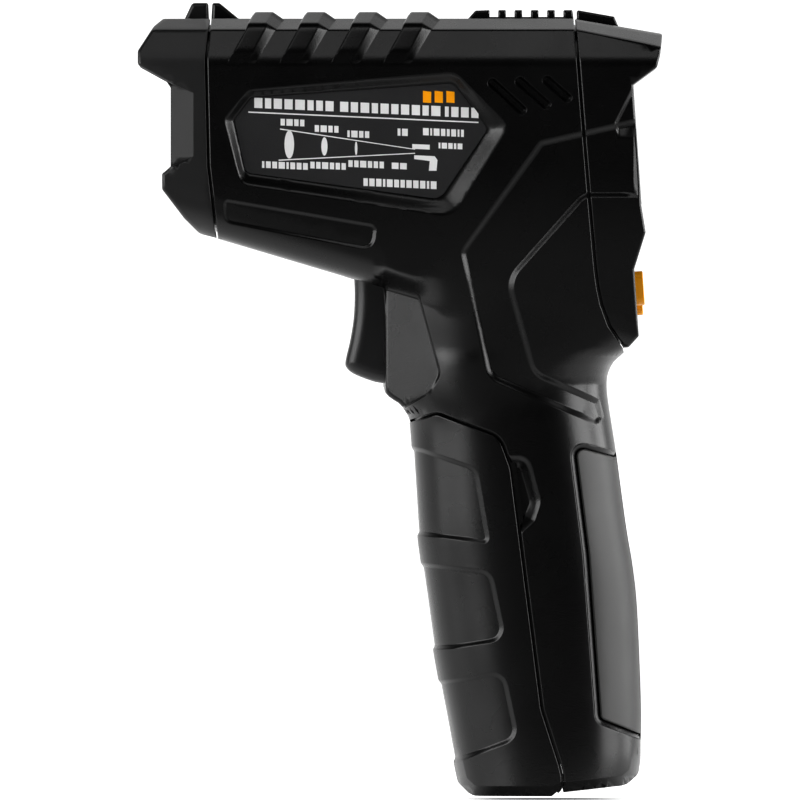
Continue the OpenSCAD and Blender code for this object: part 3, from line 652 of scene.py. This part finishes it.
def under_rows():
    """Mesh lines along the rounded underside and where the grip runs into it."""
    lines = []
    for g in (3, 8, 15, 24, 34, 45, 57, 70, 84):
        u = UNDER_ROUND * (1 - math.cos(math.radians(g)))
        lines.append(([(x, under_z(x, u)) for x in np.arange(-66, 12, 3)], False))
    for u in (-2.4, -1.2, -0.4, 0.2, 0.9, 1.7, 2.6, 3.6, 4.6, 6.4):
        lines.append(([(x, under_z(x, u)) for x in np.arange(-30.4, -5, 2)], False))
    return lines


def foot_rows():
    """Mesh lines along the inner edge of the foot's chamfer."""
    return [(beside(dense(FOOT, 1.5), q), False) for q in (1.85, 2.0, 2.15)]


closing_left = [
    ([(-66, TOP), (9, TOP)], 0, 2),
    (neck, 0, 2),
    ([neck[-1], *spine, back_low[0]], 0, 1),
    ([*back_low, SEAM_END], 0, 2),
    ([door_seam[0], *collar_low], 0, 2),
    ([(COLLAR_FRONT, 43.8), (COLLAR_FRONT, 64.1)], 7.4, 2),
    (under_line[:3], 7.4, 2),
    (under_line[2:], 0, 2),
]
house_lines = side_lines() + grip_rows() + under_rows()
for line, side in ((NOSE_SEAM, 1), (HOUSING_REAR, -1), (door_seam, 1)):
    house_lines += edge_rings(np.array(line), side)
near_back = insert_seam[insert_seam[:, 0] < 24]
house_lines += [(dense(near_back, 3), False)]
for q in (0.12, 0.45, 0.88, 0.93, 0.98, 1.06, -0.08, -0.2):
    house_lines += [(dense(beside(near_back, q), 3), False)]
for q in (0, -0.14, -0.28, -0.42, -0.56, -0.7):
    house_lines += [(dense(shrunk(COLLAR, q), 1.5, True), True)]
for q in (0.06, 0.2, 0.4, 0.7, 1.0):
    house_lines += [([(COLLAR_FRONT + q, z) for z in np.arange(42, 70, 2)], False)]
    house_lines += [(beside(dense(collar_low, 1), -q), False)]
house_lines += foot_rows()


def build_housing():
    """The left half, at +Y, with its straps, ridge, sight and lips."""
    out = shell(housing_region, housing_height, body_half, house_lines, 2.6, 2.0, closing_left)
    for i in range(4):
        out.merge(strap(-57.4 + 10.65 * i))
    for trim in (ridge_half(), sight_half(), head_lip(NOSE_SEAM, -1), head_lip(HOUSING_REAR, 1),
                 door_lip()):
        out.merge(trim)
    return out


# --------------------------------------------------- straps, ridge and sight
def head_path():
    """The head's outline across the top edge, as (y, z, ny, nz), inside to out."""
    ring = round_line([(3.0, 119.3), (13.4, 119.3, 1.4), (19.7, 117.0, 1.2), (22.42, 110.5, 0.6),
                       (22.42, 110.0)], 5)
    ring = dense(ring, 0.6)
    e = np.gradient(ring, axis=0)
    e /= np.linalg.norm(e, axis=1)[:, None]
    return np.column_stack([ring, -e[:, 1], e[:, 0]])


def strap(x0):
    """One strap: x0 is its front edge at the top."""
    path = head_path()
    run = np.concatenate([[0], np.cumsum(np.hypot(*np.diff(path[:, :2], axis=0).T))])
    out = Mesh()
    profile = [(-0.5, -0.6), (-0.1, 0.7), (0.0, 1.15), (0.22, 1.3), (0.5, 1.35), (2.0, 1.35),
               (3.6, 1.35), (3.85, 1.3), (4.1, 1.16), (5.2, 0.4), (6.2, -0.3), (6.4, -0.6)]
    rows = []
    for i, (y, z, ny, nz) in enumerate(path):
        k = np.interp(run[i], [0, 1.2, 2.2], [0, 0.75, 1]) * np.interp(z, [110.5, 117], [0.5, 1])
        left = np.interp(z, [110, 110.4, 112.4, 118.8, 119.4], [-5.1, -4.8, -3.6, 0, 0.5])
        rows.append([(x0 + left + w, min(22.44, y + ny * h * (k if h > 0 else 1)),
                      z + nz * h * (k if h > 0 else 1)) for w, h in profile])
    out.sheet(rows)
    return out


def ridge_half():
    """The louvred ridge on top."""
    line = [(-13.6, 118.8), (-11.6, 121.0, 0.5)]
    for i in range(5):
        a, b = -8.7 + 3.35 * i, -6.9 + 3.35 * i
        line += [(a, 121.1, 0.2), (a, 119.7), (b, 119.7), (b, 121.1, 0.2)]
    line += [(8.3, 121.1, 0.2), (8.6, 118.8)]
    return Mesh().prism(rounded(line, 3), -0.01, 8.0, 0.5, step=2)


def sight_half():
    """The housing's part of the sight bump."""
    line = [(-65.9, 118.6), (-65.65, 122.6, 0.4), (-64.2, 122.6, 0.9), (-60.3, 119.4, 0.8), (-59.2, 118.6)]
    return Mesh().prism(rounded(line, 4), -0.01, 4.6, 0.8, step=1)


def head_lip(line, side):
    """A strip behind the joint between the housing and a cover."""
    out = Mesh()
    rows = []
    for off, deep in ((-0.8, 1.3), (1.7, 1.3), (1.7, 2.1), (-0.8, 2.1)):
        q = beside(dense(line, 3), off * side)
        x0, (x1, z1) = q[0][0], q[-1]
        y = head_half(q) - deep
        keep = (q[:, 1] < 117.6) & (q[:, 1] > z1 + 0.8)
        rows.append([(x0, 0.02, TOP - deep), (x0, 13.2 - deep / 2, TOP - deep)]
                    + [(a, b, c) for a, b, c in zip(q[keep][:, 0], y[keep], q[keep][:, 1])]
                    + [(x1, max(0.02, y[-1] - 1), z1 + deep), (x1, 0.02, z1 + deep)])
    rows.append(rows[0])
    out.sheet(rows, flip=side > 0)
    return out


# ------------------------------------------------- battery door and grip pad
door_edge = np.vstack([beside(long_seam, -0.5), hinge_arc(2.7, (10, -10, -30, -50))])
front_z = np.arange(36.4, -40.2, -0.4)
door_front = np.stack([front_x(front_z), front_z], 1)
door_front[:, 0] += recess_depth(door_front + [0.9, 0], PANEL_RECESSES)
door_foot = np.vstack([(4.0, -40.3), foot_back[(foot_back[:, 0] < 4) & (foot_back[:, 1] < -36.6)]])
door_front = door_front[door_front[:, 1] > door_foot[-1][1] + 0.2]
door_region = np.vstack([dense(door_edge, 3), door_foot, door_front[::-1]])


def door_height(P):
    h = grip_half(P, recess_depth(P, PANEL_RECESSES))
    return h - rim_loss(P, door_region, door_edge, 0.35)


def build_door():
    lines = grip_rows()
    for poly, width, _ in PANEL_RECESSES:
        lines += rings(poly, width)
    lines += edge_rings(door_edge, -1) + foot_rows()
    closing = [(door_front[::-1], 0, 1), ([*door_foot, door_front[-1]], 0, 3)]
    return shell(door_region, door_height, grip_half, lines, 2.4, 1.0, closing).merge(hinge_lip())


def seam_lip(line, corners):
    """A strip under the joint of the door: corners are (sideways, depth) pairs."""
    out = Mesh()
    rows = []
    for off, deep in (*corners, corners[0]):
        q = beside(line, off)
        rows.append(np.stack([q[:, 0], np.maximum(grip_half(q, deep), 0), q[:, 1]], 1))
    out.sheet(rows)
    return out


def door_lip():
    """The housing's lip, which the door's edge rests on."""
    return seam_lip(dense(door_seam[door_seam[:, 1] > -33.9], 2),
                    [(0.8, 1.3), (-1.6, 1.3), (-1.6, 2.1), (0.8, 2.1)])


def hinge_lip():
    """The door's own lip where it turns round the hinge."""
    line = dense([*long_seam, *hinge_arc(3.2, (10, -10, -24, -38, -50))], 0.8)
    return seam_lip(line[line[:, 1] < -32.8],
                    [(-0.1, 0.7), (-1.4, 0.7), (-1.4, 1.15), (-0.1, 1.15)])


pad_edge = beside(insert_seam, 1.15)
pad_edge = pad_edge[(pad_edge[:, 0] < back_x(pad_edge[:, 1]) - 0.15)]
pad_top, pad_foot = pad_edge[0][1], pad_edge[-1][1]
pad_back = back_at(pad_foot, *np.arange(pad_foot + 1, pad_top - 0.6, 1.6), pad_top, inset=0.1)
pad_region = np.vstack([dense(pad_edge, 3), pad_back])


def pad_height(P):
    return grip_half(P, 0.1) - rim_loss(P, pad_region, pad_edge, 0.4)


def build_pad():
    lines = grip_rows(0.1) + [(dense(beside(pad_edge, q), 3), False) for q in (0.05, 0.16, 0.4)]
    return shell(pad_region, pad_height, grip_half, lines, 2.6, 1.0, [(pad_back, 0, 1)])


# ----------------------------------------------------------- nose and rear
nose_edge = [(x - 0.45, z) for x, z in NOSE_SEAM]
NOSE_FRONT = rounded([(-60, 119.3), (-75.7, 119.3, 1.0), (-77.6, 117.7, 1.0), (-80.9, 112.6, 1.2),
                      (-80.9, 109.7, 1.0), (-74.15, 106.0), (-74.15, 88.8), (-75.9, 87.4, 0.6),
                      (-75.9, 84.2, 1.0), (-71.4, 78.3, 2), (-68.4, 75.3, 2), (-60, 72.8)], 4)
beyond_seam = np.where(NOSE_FRONT[:, 1] < 76, -65.2, -66.3)
NOSE_FRONT = NOSE_FRONT[NOSE_FRONT[:, 0] < beyond_seam]
nose_region = np.vstack([dense(nose_edge[::-1], 3), dense(NOSE_FRONT, 1.2)])
CHEEK = np.array([(-69.4, 104.0), (-74.4, 106.15), (-74.4, 88.6), (-69.4, 90.9)])


def port(z):
    """Half width of the eight-sided opening in front."""
    return float(np.interp(z, [80.6, 80.61, 86, 108, 113.6, 113.61], [0, 11, 16.6, 16.6, 11, 0]))


def nose_height(P):
    h = head_half(P) - 0.16 * np.maximum(0, -66.4 - P[:, 0])
    h = h - rim_loss(P, nose_region, NOSE_FRONT, 0.7) - rim_loss(P, nose_region, nose_edge, 0.35)
    t = ramp(depth_in(P, CHEEK) / 0.12) * (P[:, 0] < -69.4)
    cheek = 22.0 - (-69.4 - P[:, 0]) * 1.15
    return h * (1 - t) + np.minimum(h, cheek) * t


def build_nose():
    lines = edge_rings(np.array(nose_edge), -1) + under_rows()
    lines += [(dense(shrunk(CHEEK, q), 2, True), True) for q in (0, 0.06, 0.12)]
    for q in (0.08, 0.25, 0.45, 0.7):
        lines += [(dense(beside(NOSE_FRONT, q), 1.2), False)]
    for z in (110.2, 110.5, 110.8, 116.7, 116.9, 117.1):
        lines.append(([(-81, z), (-64, z)], False))
    out = shell(nose_region, nose_height, head_half, lines, 1.8, 1.2, [(NOSE_FRONT, port, 1)])
    # the walls of the opening
    ring = [(11, 113.6), (16.6, 108), (16.6, 86), (11, 80.6), (0.02, 80.6)]
    ring = dense([(0.02, 113.6)] + ring, 1.5)
    front = NOSE_FRONT[NOSE_FRONT[:, 0] < -70]
    rows = []
    for t in (0, 1):
        rows.append([(np.interp(-z, -front[:, 1], front[:, 0]) * (1 - t) - 71.8 * t, y, z)
                     for y, z in ring])
    out.sheet(rows)
    return out.prism(rounded([(-66.35, 118.6), (-66.55, 122.6, 0.4), (-69.8, 122.6, 0.9),
                              (-71.3, 119.4, 0.8), (-72, 118.6)], 4), -0.01, 4.6, 0.8, step=1)


rear_edge = [(x + 0.2, z) for x, z in REAR_SEAM]
REAR_BACK = round_line([(18.95, 51.75), (19.8, 51.8, 0.5), (21.9, 54.1, 0.6), (20.95, 67.9, 1),
                        (23.3, 75.4, 1.2), (22.4, 80.9), (20.72, 105.61),
                        (25.6, 109.2, 0.8), (26.25, 111.6, 2), (26.8, 116.2, 0.5), (9.0, 119.2)], 4)
WING = rounded([(20.9, 106.2), (16.7, 97.9, 1), (17.5, 94), (30, 94), (30, 106.2)], 3)
LEDGE = (58.2, 67.7)
KEY_Z = 63
KEY_LEAN = (20.95 - 21.9) / (67.9 - 54.1)


def openings(z):
    """Half width of the holes in the back face."""
    return float(np.interp(z, [LEDGE[0], LEDGE[0] + 0.01, LEDGE[1], LEDGE[1] + 0.01,
                               80.92, 80.93, 105.6, 105.61],
                           [0, 13.8, 13.8, 0, 0, 18.05, 18.05, 0]))


rear_back = [REAR_BACK[0]]
for a, b in zip(REAR_BACK[:-1], REAR_BACK[1:]):
    cuts = [z for q in (*LEDGE, 80.92) for z in (q, q + 0.01) if a[1] < z < b[1]]
    rear_back += [a + (b - a) * (z - a[1]) / (b[1] - a[1]) for z in cuts] + [b]
rear_back = dense(rear_back, 1.5)
rear_region = np.vstack([dense(rear_edge, 2.5)[:-1], rear_back[:-1]])


def rear_height(P):
    h = head_half(P, 0.177 * np.maximum(0, P[:, 0] - 9)) - 0.11 * np.maximum(0, P[:, 0] - 11)
    h = h - recess_depth(P, [(CHANNEL, 1.3, 0.9)])
    h = h - 0.95 * ramp(depth_in(P, WING) / 1.0) * ramp((P[:, 1] - 94.5) / 3)
    return h - rim_loss(P, rear_region, REAR_BACK, 0.6) - rim_loss(P, rear_region, rear_edge, 0.45)


def build_rear():
    lines = edge_rings(np.array(rear_edge), 1, 0.45) + rings(CHANNEL, 1.3)
    lines += [(dense(shrunk(WING, q), 1.2, True), True) for q in (0, 0.3, 0.6, 1.0)]
    for q in (0.08, 0.2, 0.4, 0.6):
        lines += [(dense(beside(REAR_BACK, q), 1.2), False)]
    for z in (109.4, 110.2, 110.5, 110.8, 111.6, 79.5, 80.5):
        lines.append(([(8, z), (28, z)], False))
    for z in (116.6, 116.9, 117.2):
        lines.append(([(9, z), (28, z - 19 * 0.177)], False))
    out = shell(rear_region, rear_height, head_half, lines, 1.8, 1.2, [(rear_back, openings, 1)])
    return out.prism(rounded([(9.3, 118.4), (9.25, 121.1, 0.3), (16.9, 119.75, 0.4), (17.9, 117.4)], 3),
                     -0.01, 8.0, 0.5, step=2)


def key_outline(s, gap):
    """A key, drawn round the middle of the key face: s is -1, 0 or 1."""
    if s:
        q = [(s * 6, 4.4, 1.2), (s * 13, 4.4, 1.6), (s * 12, -2.6, 2), (s * 4.9, -2.6, 1.2)]
    else:
        q = [(-4.6, 3.6, 1.5), (4.6, 3.6, 1.5), (3.4, -4.6, 1.5), (-3.4, -4.6, 1.5)]
    return shrunk(rounded(q, 4), -gap)


def key_face(q, deep):
    """Points (y, up) of the leaning key face, at a depth behind it."""
    return [(20.95 + KEY_LEAN * (KEY_Z + t - 67.9) - deep, y, KEY_Z + t) for y, t in q]


def key_plate():
    """The key face, with a hole for each key."""
    z0, z1 = LEDGE[0] - KEY_Z, LEDGE[1] - KEY_Z
    frame_line = np.array([(-13.8, z0), (13.8, z0), (13.8, z1), (-13.8, z1)])
    holes = [key_outline(s, 0.3) for s in (-1, 0, 1)]
    V, F, _ = triangulate(dense(frame_line, 2, True), [(h, True) for h in holes], 2.0)
    mid = V[F].mean(1)
    for h in holes:
        solid = ~inside(mid, h)
        F, mid = F[solid], mid[solid]
    out = Mesh()
    n = unit((1, 0, -KEY_LEAN))
    out.add(key_face(V, 0.03), [n] * len(V), F)
    out.add(key_face(V, 1.4), [-n] * len(V), F, flip=True)
    for h in holes:
        g = dense(h, 2, True)
        out.sheet([key_face(g, 0.03), key_face(g, 1.4)], closed=True)
    return out


# --------------------------------------------------------- label and trigger
def label_plate():
    return Mesh().prism(shrunk(LABEL_IN, 0.15), LABEL_Y - 0.15, LABEL_Y + 0.1, 0.08, step=3)


def label_print():
    """A generic picture: rows of bars, and a measuring cone with three spots."""
    out = Mesh()
    lean = -0.045

    def shape(points):
        out.prism(np.array(points, float), INK_Y - 0.05, INK_Y + 0.015, step=9)

    def bar(x, z, w, h):
        shape([(x, z), (x + w, z + w * lean), (x + w, z + h + w * lean), (x, z + h)])

    def spot(x, z, rx, rz):
        shape([(x + rx * math.cos(a), z + rz * math.sin(a)) for a in np.linspace(0, 6.2, 25)[:-1]])

    def row(x, z, widths, h, gap=0.5):
        for i, w in enumerate(widths):
            bar(x, z, w, h)
            x, z = x + w + gap, z + (w + gap) * lean

    row(-57.0, 100.9, (1.7, 1.3, 1.7, 1.7, 2.0, 1.3, 1.4, 1.7), 2.1)
    row(-39.4, 100.1, (1.7, 1.5, 1.8, 1.3, 1.7, 1.5, 1.7, 1.7, 1.3, 1.9), 2.1)
    row(-17.9, 99.1, (0.8, 1.5, 1.6, 1.5), 2.1)
    bar(-58.2, 99.9, 47.2, 0.28)
    for x, z, rx, rz in ((-49.8, 93.4, 1.0, 2.9), (-42.6, 93.0, 0.65, 1.9), (-36.1, 92.6, 0.28, 1.4)):
        spot(x, z, rx, rz)
    shape([(-51.7, 96.7), (-24.0, 92.5), (-24.0, 92.3), (-51.7, 96.45)])
    shape([(-52.0, 90.3), (-24.0, 91.7), (-24.0, 91.5), (-52.0, 90.05)])
    shape([(-24.2, 91.2), (-20.0, 91.0), (-19.4, 90.2), (-19.6, 88.0), (-21.2, 88.0), (-21.0, 90.0),
           (-22.6, 90.2), (-24.2, 90.4)][::-1])
    bar(-24.6, 92.5, 3.6, 1.0)
    row(-51.6, 97.3, (0.9, 1.3, 0.9, 0.9), 1.4, 0.3)
    row(-44.6, 96.0, (0.9, 1.3, 0.9, 0.9), 1.4, 0.3)
    row(-37.9, 94.9, (0.5, 1.3, 0.9, 0.9), 1.4, 0.3)
    row(-55.4, 88.6, (0.5, 1.0, 1.0, 1.3, 0.5, 1.0, 1.0, 1.0), 1.4, 0.3)
    row(-45.5, 88.5, (0.9, 0.9, 1.3, 0.9, 0.9, 0.9), 1.4, 0.3)
    row(-37.7, 88.8, (0.9, 0.9, 1.3, 0.9, 0.9, 0.9), 1.4, 0.3)
    row(-27.6, 95.2, (0.6, 1.2), 1.5, 0.3)
    row(-28.8, 88.4, (1.4, 1.4), 1.3, 0.3)
    row(-22.4, 95.3, (1.2, 0.4, 1.2, 0.9, 0.6, 1.0, 0.4, 0.6), 1.5, 0.3)
    row(-19.2, 92.6, (0.4, 1.1, 0.9, 0.5, 1.0), 1.2, 0.25)
    row(-34.6, 84.9, (0.9, 1.1, 1.1, 0.5, 1.2, 1.0, 0.9, 1.1, 1.1, 1.1, 0.5, 1.2), 1.6, 0.3)
    return out


def label_mark():
    """Three orange bars beside the print."""
    out = Mesh()
    for x in (-22.4, -20.0, -17.6):
        out.prism(np.array([(x, 102.0), (x + 1.7, 101.9), (x + 1.7, 104.2), (x, 104.4)]),
                  INK_Y - 0.05, INK_Y + 0.015, step=9)
    return out


trigger_front = smooth_line([(-29.6, 71), (-33, 72.4), (-35, 72), (-36.2, 70.5), (-36.5, 66.7),
                             (-36.4, 62.6), (-36.6, 58), (-37.3, 53.4), (-38.25, 49.2),
                             (-38.1, 47.7), (-36.6, 46.4), (-33.4, 45.1), (-30.9, 44.5),
                             (-27.4, 44.3)], 5)
trigger_region = np.vstack([trigger_front, [(-27.2, 65.6)]])


def trigger_height(P):
    return 6.95 - rim_loss(P, trigger_region, trigger_front, 2.7)


def build_trigger():
    """Open at the back, where the spring goes in."""
    return shell(trigger_region, trigger_height, trigger_height, [], 0.7, 1.5,
                 [(trigger_front, 0, 1)])


# --------------------------------------------------------------- materials
def node(tree, kind, props=(), **inputs):
    """A shader node, with properties and then inputs set."""
    n = tree.nodes.new("ShaderNode" + kind)
    for key, value in dict(props).items():
        setattr(n, key, value)
    return feed(n, **inputs)


def feed(n, **inputs):
    """Sets a node's inputs by name, or links them where the value is a socket."""
    for key, value in inputs.items():
        socket = n.inputs[key.replace("_", " ")]
        if isinstance(value, bpy.types.NodeSocket):
            n.id_data.links.new(value, socket)
        else:
            socket.default_value = value
    return n


def new_material(name):
    m = bpy.data.materials.new(name)
    m.use_nodes = True
    return m, m.node_tree, m.node_tree.nodes["Principled BSDF"]


def bumped(tree, height, strength, distance):
    return node(tree, "Bump", Strength=strength, Distance=distance, Height=height).outputs["Normal"]


def plastic(name, colour, rough, grain=0.3, bump=0.35, spread=0.06, spec=0.5, coat=0.0):
    """Moulded plastic: fine spark-eroded grain, and slow changes of gloss and shade."""
    m, nt, b = new_material(name)
    at = node(nt, "TexCoord").outputs["Object"]
    fine = node(nt, "TexNoise", Vector=at, Scale=1 / (grain * MM), Detail=3.0, Roughness=0.6)
    slow = node(nt, "TexNoise", Vector=at, Scale=90.0, Detail=4.0).outputs["Fac"]
    gloss = node(nt, "MapRange", Value=slow, To_Min=rough - spread, To_Max=rough + spread)
    c = np.array(colour)
    shade = node(nt, "Mix", {"data_type": "RGBA"}, Factor=slow, A=(*(c * 0.86), 1), B=(*(c * 1.16), 1))
    feed(b, Normal=bumped(nt, fine.outputs["Fac"], bump, 0.00005), Roughness=gloss.outputs["Result"],
         Base_Color=shade.outputs["Result"], Specular_IOR_Level=spec, Coat_Weight=coat)
    return m


def metal(name, colour, rough):
    """Brushed along X."""
    m, nt, b = new_material(name)
    at = node(nt, "Mapping", Vector=node(nt, "TexCoord").outputs["Object"], Scale=(60, 1400, 1400))
    brush = node(nt, "TexNoise", Vector=at.outputs["Vector"], Scale=1.0, Detail=4.0).outputs["Fac"]
    gloss = node(nt, "MapRange", Value=brush, To_Min=rough * 0.8, To_Max=rough * 1.25)
    feed(b, Normal=bumped(nt, brush, 0.12, 0.00002), Roughness=gloss.outputs["Result"],
         Base_Color=(*colour, 1), Metallic=1.0)
    return m


def clear(name, colour):
    m, nt, b = new_material(name)
    feed(b, Base_Color=(*colour, 1), Roughness=0.05, Transmission_Weight=1.0, IOR=1.49)
    return m


mat = {
    "black_plastic": plastic("black_plastic", (0.0016, 0.0016, 0.0017), 0.27, spec=0.45),
    "nose_plastic": plastic("nose_plastic", (0.006, 0.006, 0.0062), 0.40),
    "front_plate": plastic("front_plate", (0.01, 0.01, 0.011), 0.24, bump=0.05),
    "lens_ring": metal("lens_ring", (0.03, 0.03, 0.032), 0.38),
    "lens": plastic("lens", (0.05, 0.03, 0.055), 0.08, bump=0.0, spread=0.02, coat=1.0, spec=0.9),
    "sensor_brass": metal("sensor_brass", (0.72, 0.52, 0.22), 0.28),
    "metal_can": metal("metal_can", (0.6, 0.6, 0.6), 0.25),
    "red_window": clear("red_window", (0.6, 0.03, 0.03)),
    "window": plastic("window", (0.012, 0.014, 0.016), 0.07, bump=0.0, spread=0.02, coat=1.0),
    "white_plastic": plastic("white_plastic", (0.72, 0.72, 0.69), 0.4, bump=0.1),
    "lcd": plastic("lcd", (0.16, 0.2, 0.16), 0.12, bump=0.0),
    "polyimide": plastic("polyimide", (0.5, 0.2, 0.03), 0.25, bump=0.1),
    "rubber": plastic("rubber", (0.02, 0.0198, 0.0192), 0.44, grain=0.14),
    "silicone": plastic("silicone", (0.15, 0.15, 0.15), 0.6, bump=0.1),
    "yellow_key": plastic("yellow_key", (1.0, 0.42, 0.0), 0.36, bump=0.12),
    "circuit_board": plastic("circuit_board", (0.008, 0.09, 0.03), 0.3, grain=0.6, bump=0.15),
    "component": plastic("component", (0.018, 0.018, 0.018), 0.5),
    "trigger_plastic": plastic("trigger_plastic", (0.015, 0.015, 0.0155), 0.38),
    "steel": metal("steel", (0.62, 0.62, 0.63), 0.24),
    "red_plastic": plastic("red_plastic", (0.5, 0.03, 0.02), 0.35),
    "wire": plastic("wire", (0.35, 0.015, 0.012), 0.4),
    "foam": plastic("foam", (0.03, 0.03, 0.03), 0.85, grain=0.5, bump=0.8),
    "cell_wrap": plastic("cell_wrap", (0.02, 0.08, 0.24), 0.22, bump=0.03, coat=0.4),
    "ink": plastic("ink", (0.8, 0.8, 0.8), 0.5, bump=0.05),
    "label": plastic("label", (0.02, 0.02, 0.021), 0.5, grain=0.24, bump=1.0),
}
slot_of = {s["node"]: s["material_slot"] for s in frame["record"]["subparts"]}


def dress(name, width):
    """Gives a CAD node its material, clean shading and small rounded edges."""
    o = nodes[name]
    o.data.materials.clear()
    o.data.materials.append(mat[slot_of[name]])
    o.data.polygons.foreach_set("use_smooth", [True] * len(o.data.polygons))
    w = o.modifiers.new("weld", "WELD")
    w.merge_threshold = 0.000002
    if width:
        d = o.modifiers.new("planar", "DECIMATE")
        d.decimate_type = "DISSOLVE"
        d.angle_limit = math.radians(0.6)
        b = o.modifiers.new("bevel", "BEVEL")
        b.width = width * MM
        b.segments = 2
        b.limit_method = "ANGLE"
        b.angle_limit = math.radians(25)
        b.harden_normals = True
        b.use_clamp_overlap = True
        b.miter_outer = "MITER_ARC"
    n = o.modifiers.new("weighted", "WEIGHTED_NORMAL")
    n.keep_sharp = True


# ------------------------------------------------------------------ pieces
for side in ("left", "right"):
    parts = [build_housing(), label_plate(), label_print(), label_mark()]
    if side == "left":
        parts = [part.other_side() for part in parts]
    half, plate, ink, mark = parts
    half.make(side + "_shell", "black_plastic", "housing", side + "_housing")
    plate.make(side + "_plate", "label", "housing", side + "_label")
    ink.make(side + "_print", "ink", "housing", slot="white_plastic")
    mark.make(side + "_mark", "yellow_key", "housing")
build_door().mirrored().make("door_shell", "black_plastic", "battery_door", "battery_door")
build_pad().mirrored().make("pad_shell", "rubber", "housing", "grip_insert")
build_nose().mirrored().make("nose_shell", "nose_plastic", "housing", "nose_bezel")
rear = build_rear().mirrored().merge(key_plate())
rear.make("rear_shell", "black_plastic", "housing", "rear_cover")
build_trigger().mirrored().make("trigger_shell", "trigger_plastic", "trigger", "trigger")
for n in nodes:
    if not nodes[n].hide_render:
        dress(n, 0 if "lens" in n else 0.25)

# ------------------------------------------------------- floor, light, camera
FLOOR_GAP = 0.6
bpy.ops.mesh.primitive_circle_add(vertices=96, radius=12.0, fill_type="NGON",
                                  location=(0, 0, cad_box[0][2] - FLOOR_GAP * MM))
floor = bpy.context.object
floor.name = "floor"
floor_mat, ft, floor_shader = new_material("floor")
# white to the camera all round, except for a painted contact shadow round the foot, and only the floor
# behind lights the object
at = node(ft, "TexCoord").outputs["Object"]
behind = node(ft, "MapRange", {"interpolation_type": "SMOOTHSTEP"}, From_Min=-0.12, From_Max=-0.03,
              Value=node(ft, "SeparateXYZ", Vector=at).outputs["Y"])
# painted contact shadow: the floor's emission is nil within 12 mm of a point under the foot and fades back
# in by 21 mm, for the camera and for the light on the object alike
foot = node(ft, "VectorMath", {"operation": "DISTANCE"}, Vector=at)
foot.inputs[1].default_value = (0.003, -0.014, 0)
painted_shadow_fade = node(ft, "MapRange", From_Min=0.012, From_Max=0.021, Value=foot.outputs["Value"])
lit = node(ft, "Math", {"operation": "MULTIPLY"})
ft.links.new(behind.outputs["Result"], lit.inputs[0])
ft.links.new(painted_shadow_fade.outputs["Result"], lit.inputs[1])
emitted = node(ft, "Mix", Factor=node(ft, "LightPath").outputs["Is Camera Ray"], A=lit.outputs["Value"],
               B=painted_shadow_fade.outputs["Result"])
feed(floor_shader, Base_Color=(0.5, 0.5, 0.5, 1), Roughness=0.9, Specular_IOR_Level=0.1,
     Emission_Color=(1, 1, 1, 1), Emission_Strength=emitted.outputs["Result"])
floor.data.materials.append(floor_mat)

world = bpy.data.worlds.new("studio")
bpy.context.scene.world = world
world.use_nodes = True
wt = world.node_tree
up = node(wt, "SeparateXYZ", Vector=node(wt, "TexCoord").outputs["Generated"])
dome = node(wt, "MapRange", {"interpolation_type": "SMOOTHSTEP"}, From_Min=0.3, From_Max=0.9,
            To_Min=0.0, To_Max=1.2, Value=up.outputs["Y"])
sky = node(wt, "Math", {"operation": "MAXIMUM"})
wt.links.new(dome.outputs["Result"], sky.inputs[0])
wt.links.new(node(wt, "LightPath").outputs["Is Camera Ray"], sky.inputs[1])
feed(wt.nodes["Background"], Color=(1, 1, 1, 1), Strength=sky.outputs["Value"])


def softbox(name, at, target, size, power):
    """A soft light at a place in metres, turned towards the object."""
    d = bpy.data.lights.new(name, "AREA")
    d.shape = "RECTANGLE"
    d.size, d.size_y = size
    d.energy = power
    o = bpy.data.objects.new(name, d)
    o.location = at
    o.rotation_euler = (Vector(target) - Vector(at)).to_track_quat("-Z", "Y").to_euler()
    o.visible_camera = False
    bpy.context.scene.collection.objects.link(o)


softbox("left", (-1.15, -0.4, 0.1), (0, 0, 0.04), (0.9, 1.2), 18)
softbox("right", (1.15, -0.3, 0.1), (0, 0, 0.04), (0.7, 1.2), 20)
softbox("right_back", (1.2, 0.45, 0.1), (0, 0, 0.04), (0.6, 1.2), 13)
softbox("left_front", (-0.9, -0.85, 0.1), (0, 0, 0.04), (0.35, 1.2), 6)
softbox("top", (-0.1, -0.8, 1.0), (0, 0, 0.08), (1.4, 0.4), 3.5)

cam_data = bpy.data.cameras.new("camera")
cam_data.lens = 1600
cam_data.sensor_width = 36
cam = bpy.data.objects.new("camera", cam_data)
bpy.context.scene.collection.objects.link(cam)
bpy.context.scene.camera = cam
VIEW_WIDTH = 0.164
SIDE_PLANE = 0.0225
distance = VIEW_WIDTH / 2 / (cam_data.sensor_width / 2 / cam_data.lens)
cam.location = (-0.0271, -SIDE_PLANE - distance, 0.041)
cam.rotation_euler = (math.radians(90), 0, 0)
cam_data.clip_end = 50
bpy.context.scene.view_settings.view_transform = "Standard"
bpy.context.scene.view_settings.gamma = 0.8
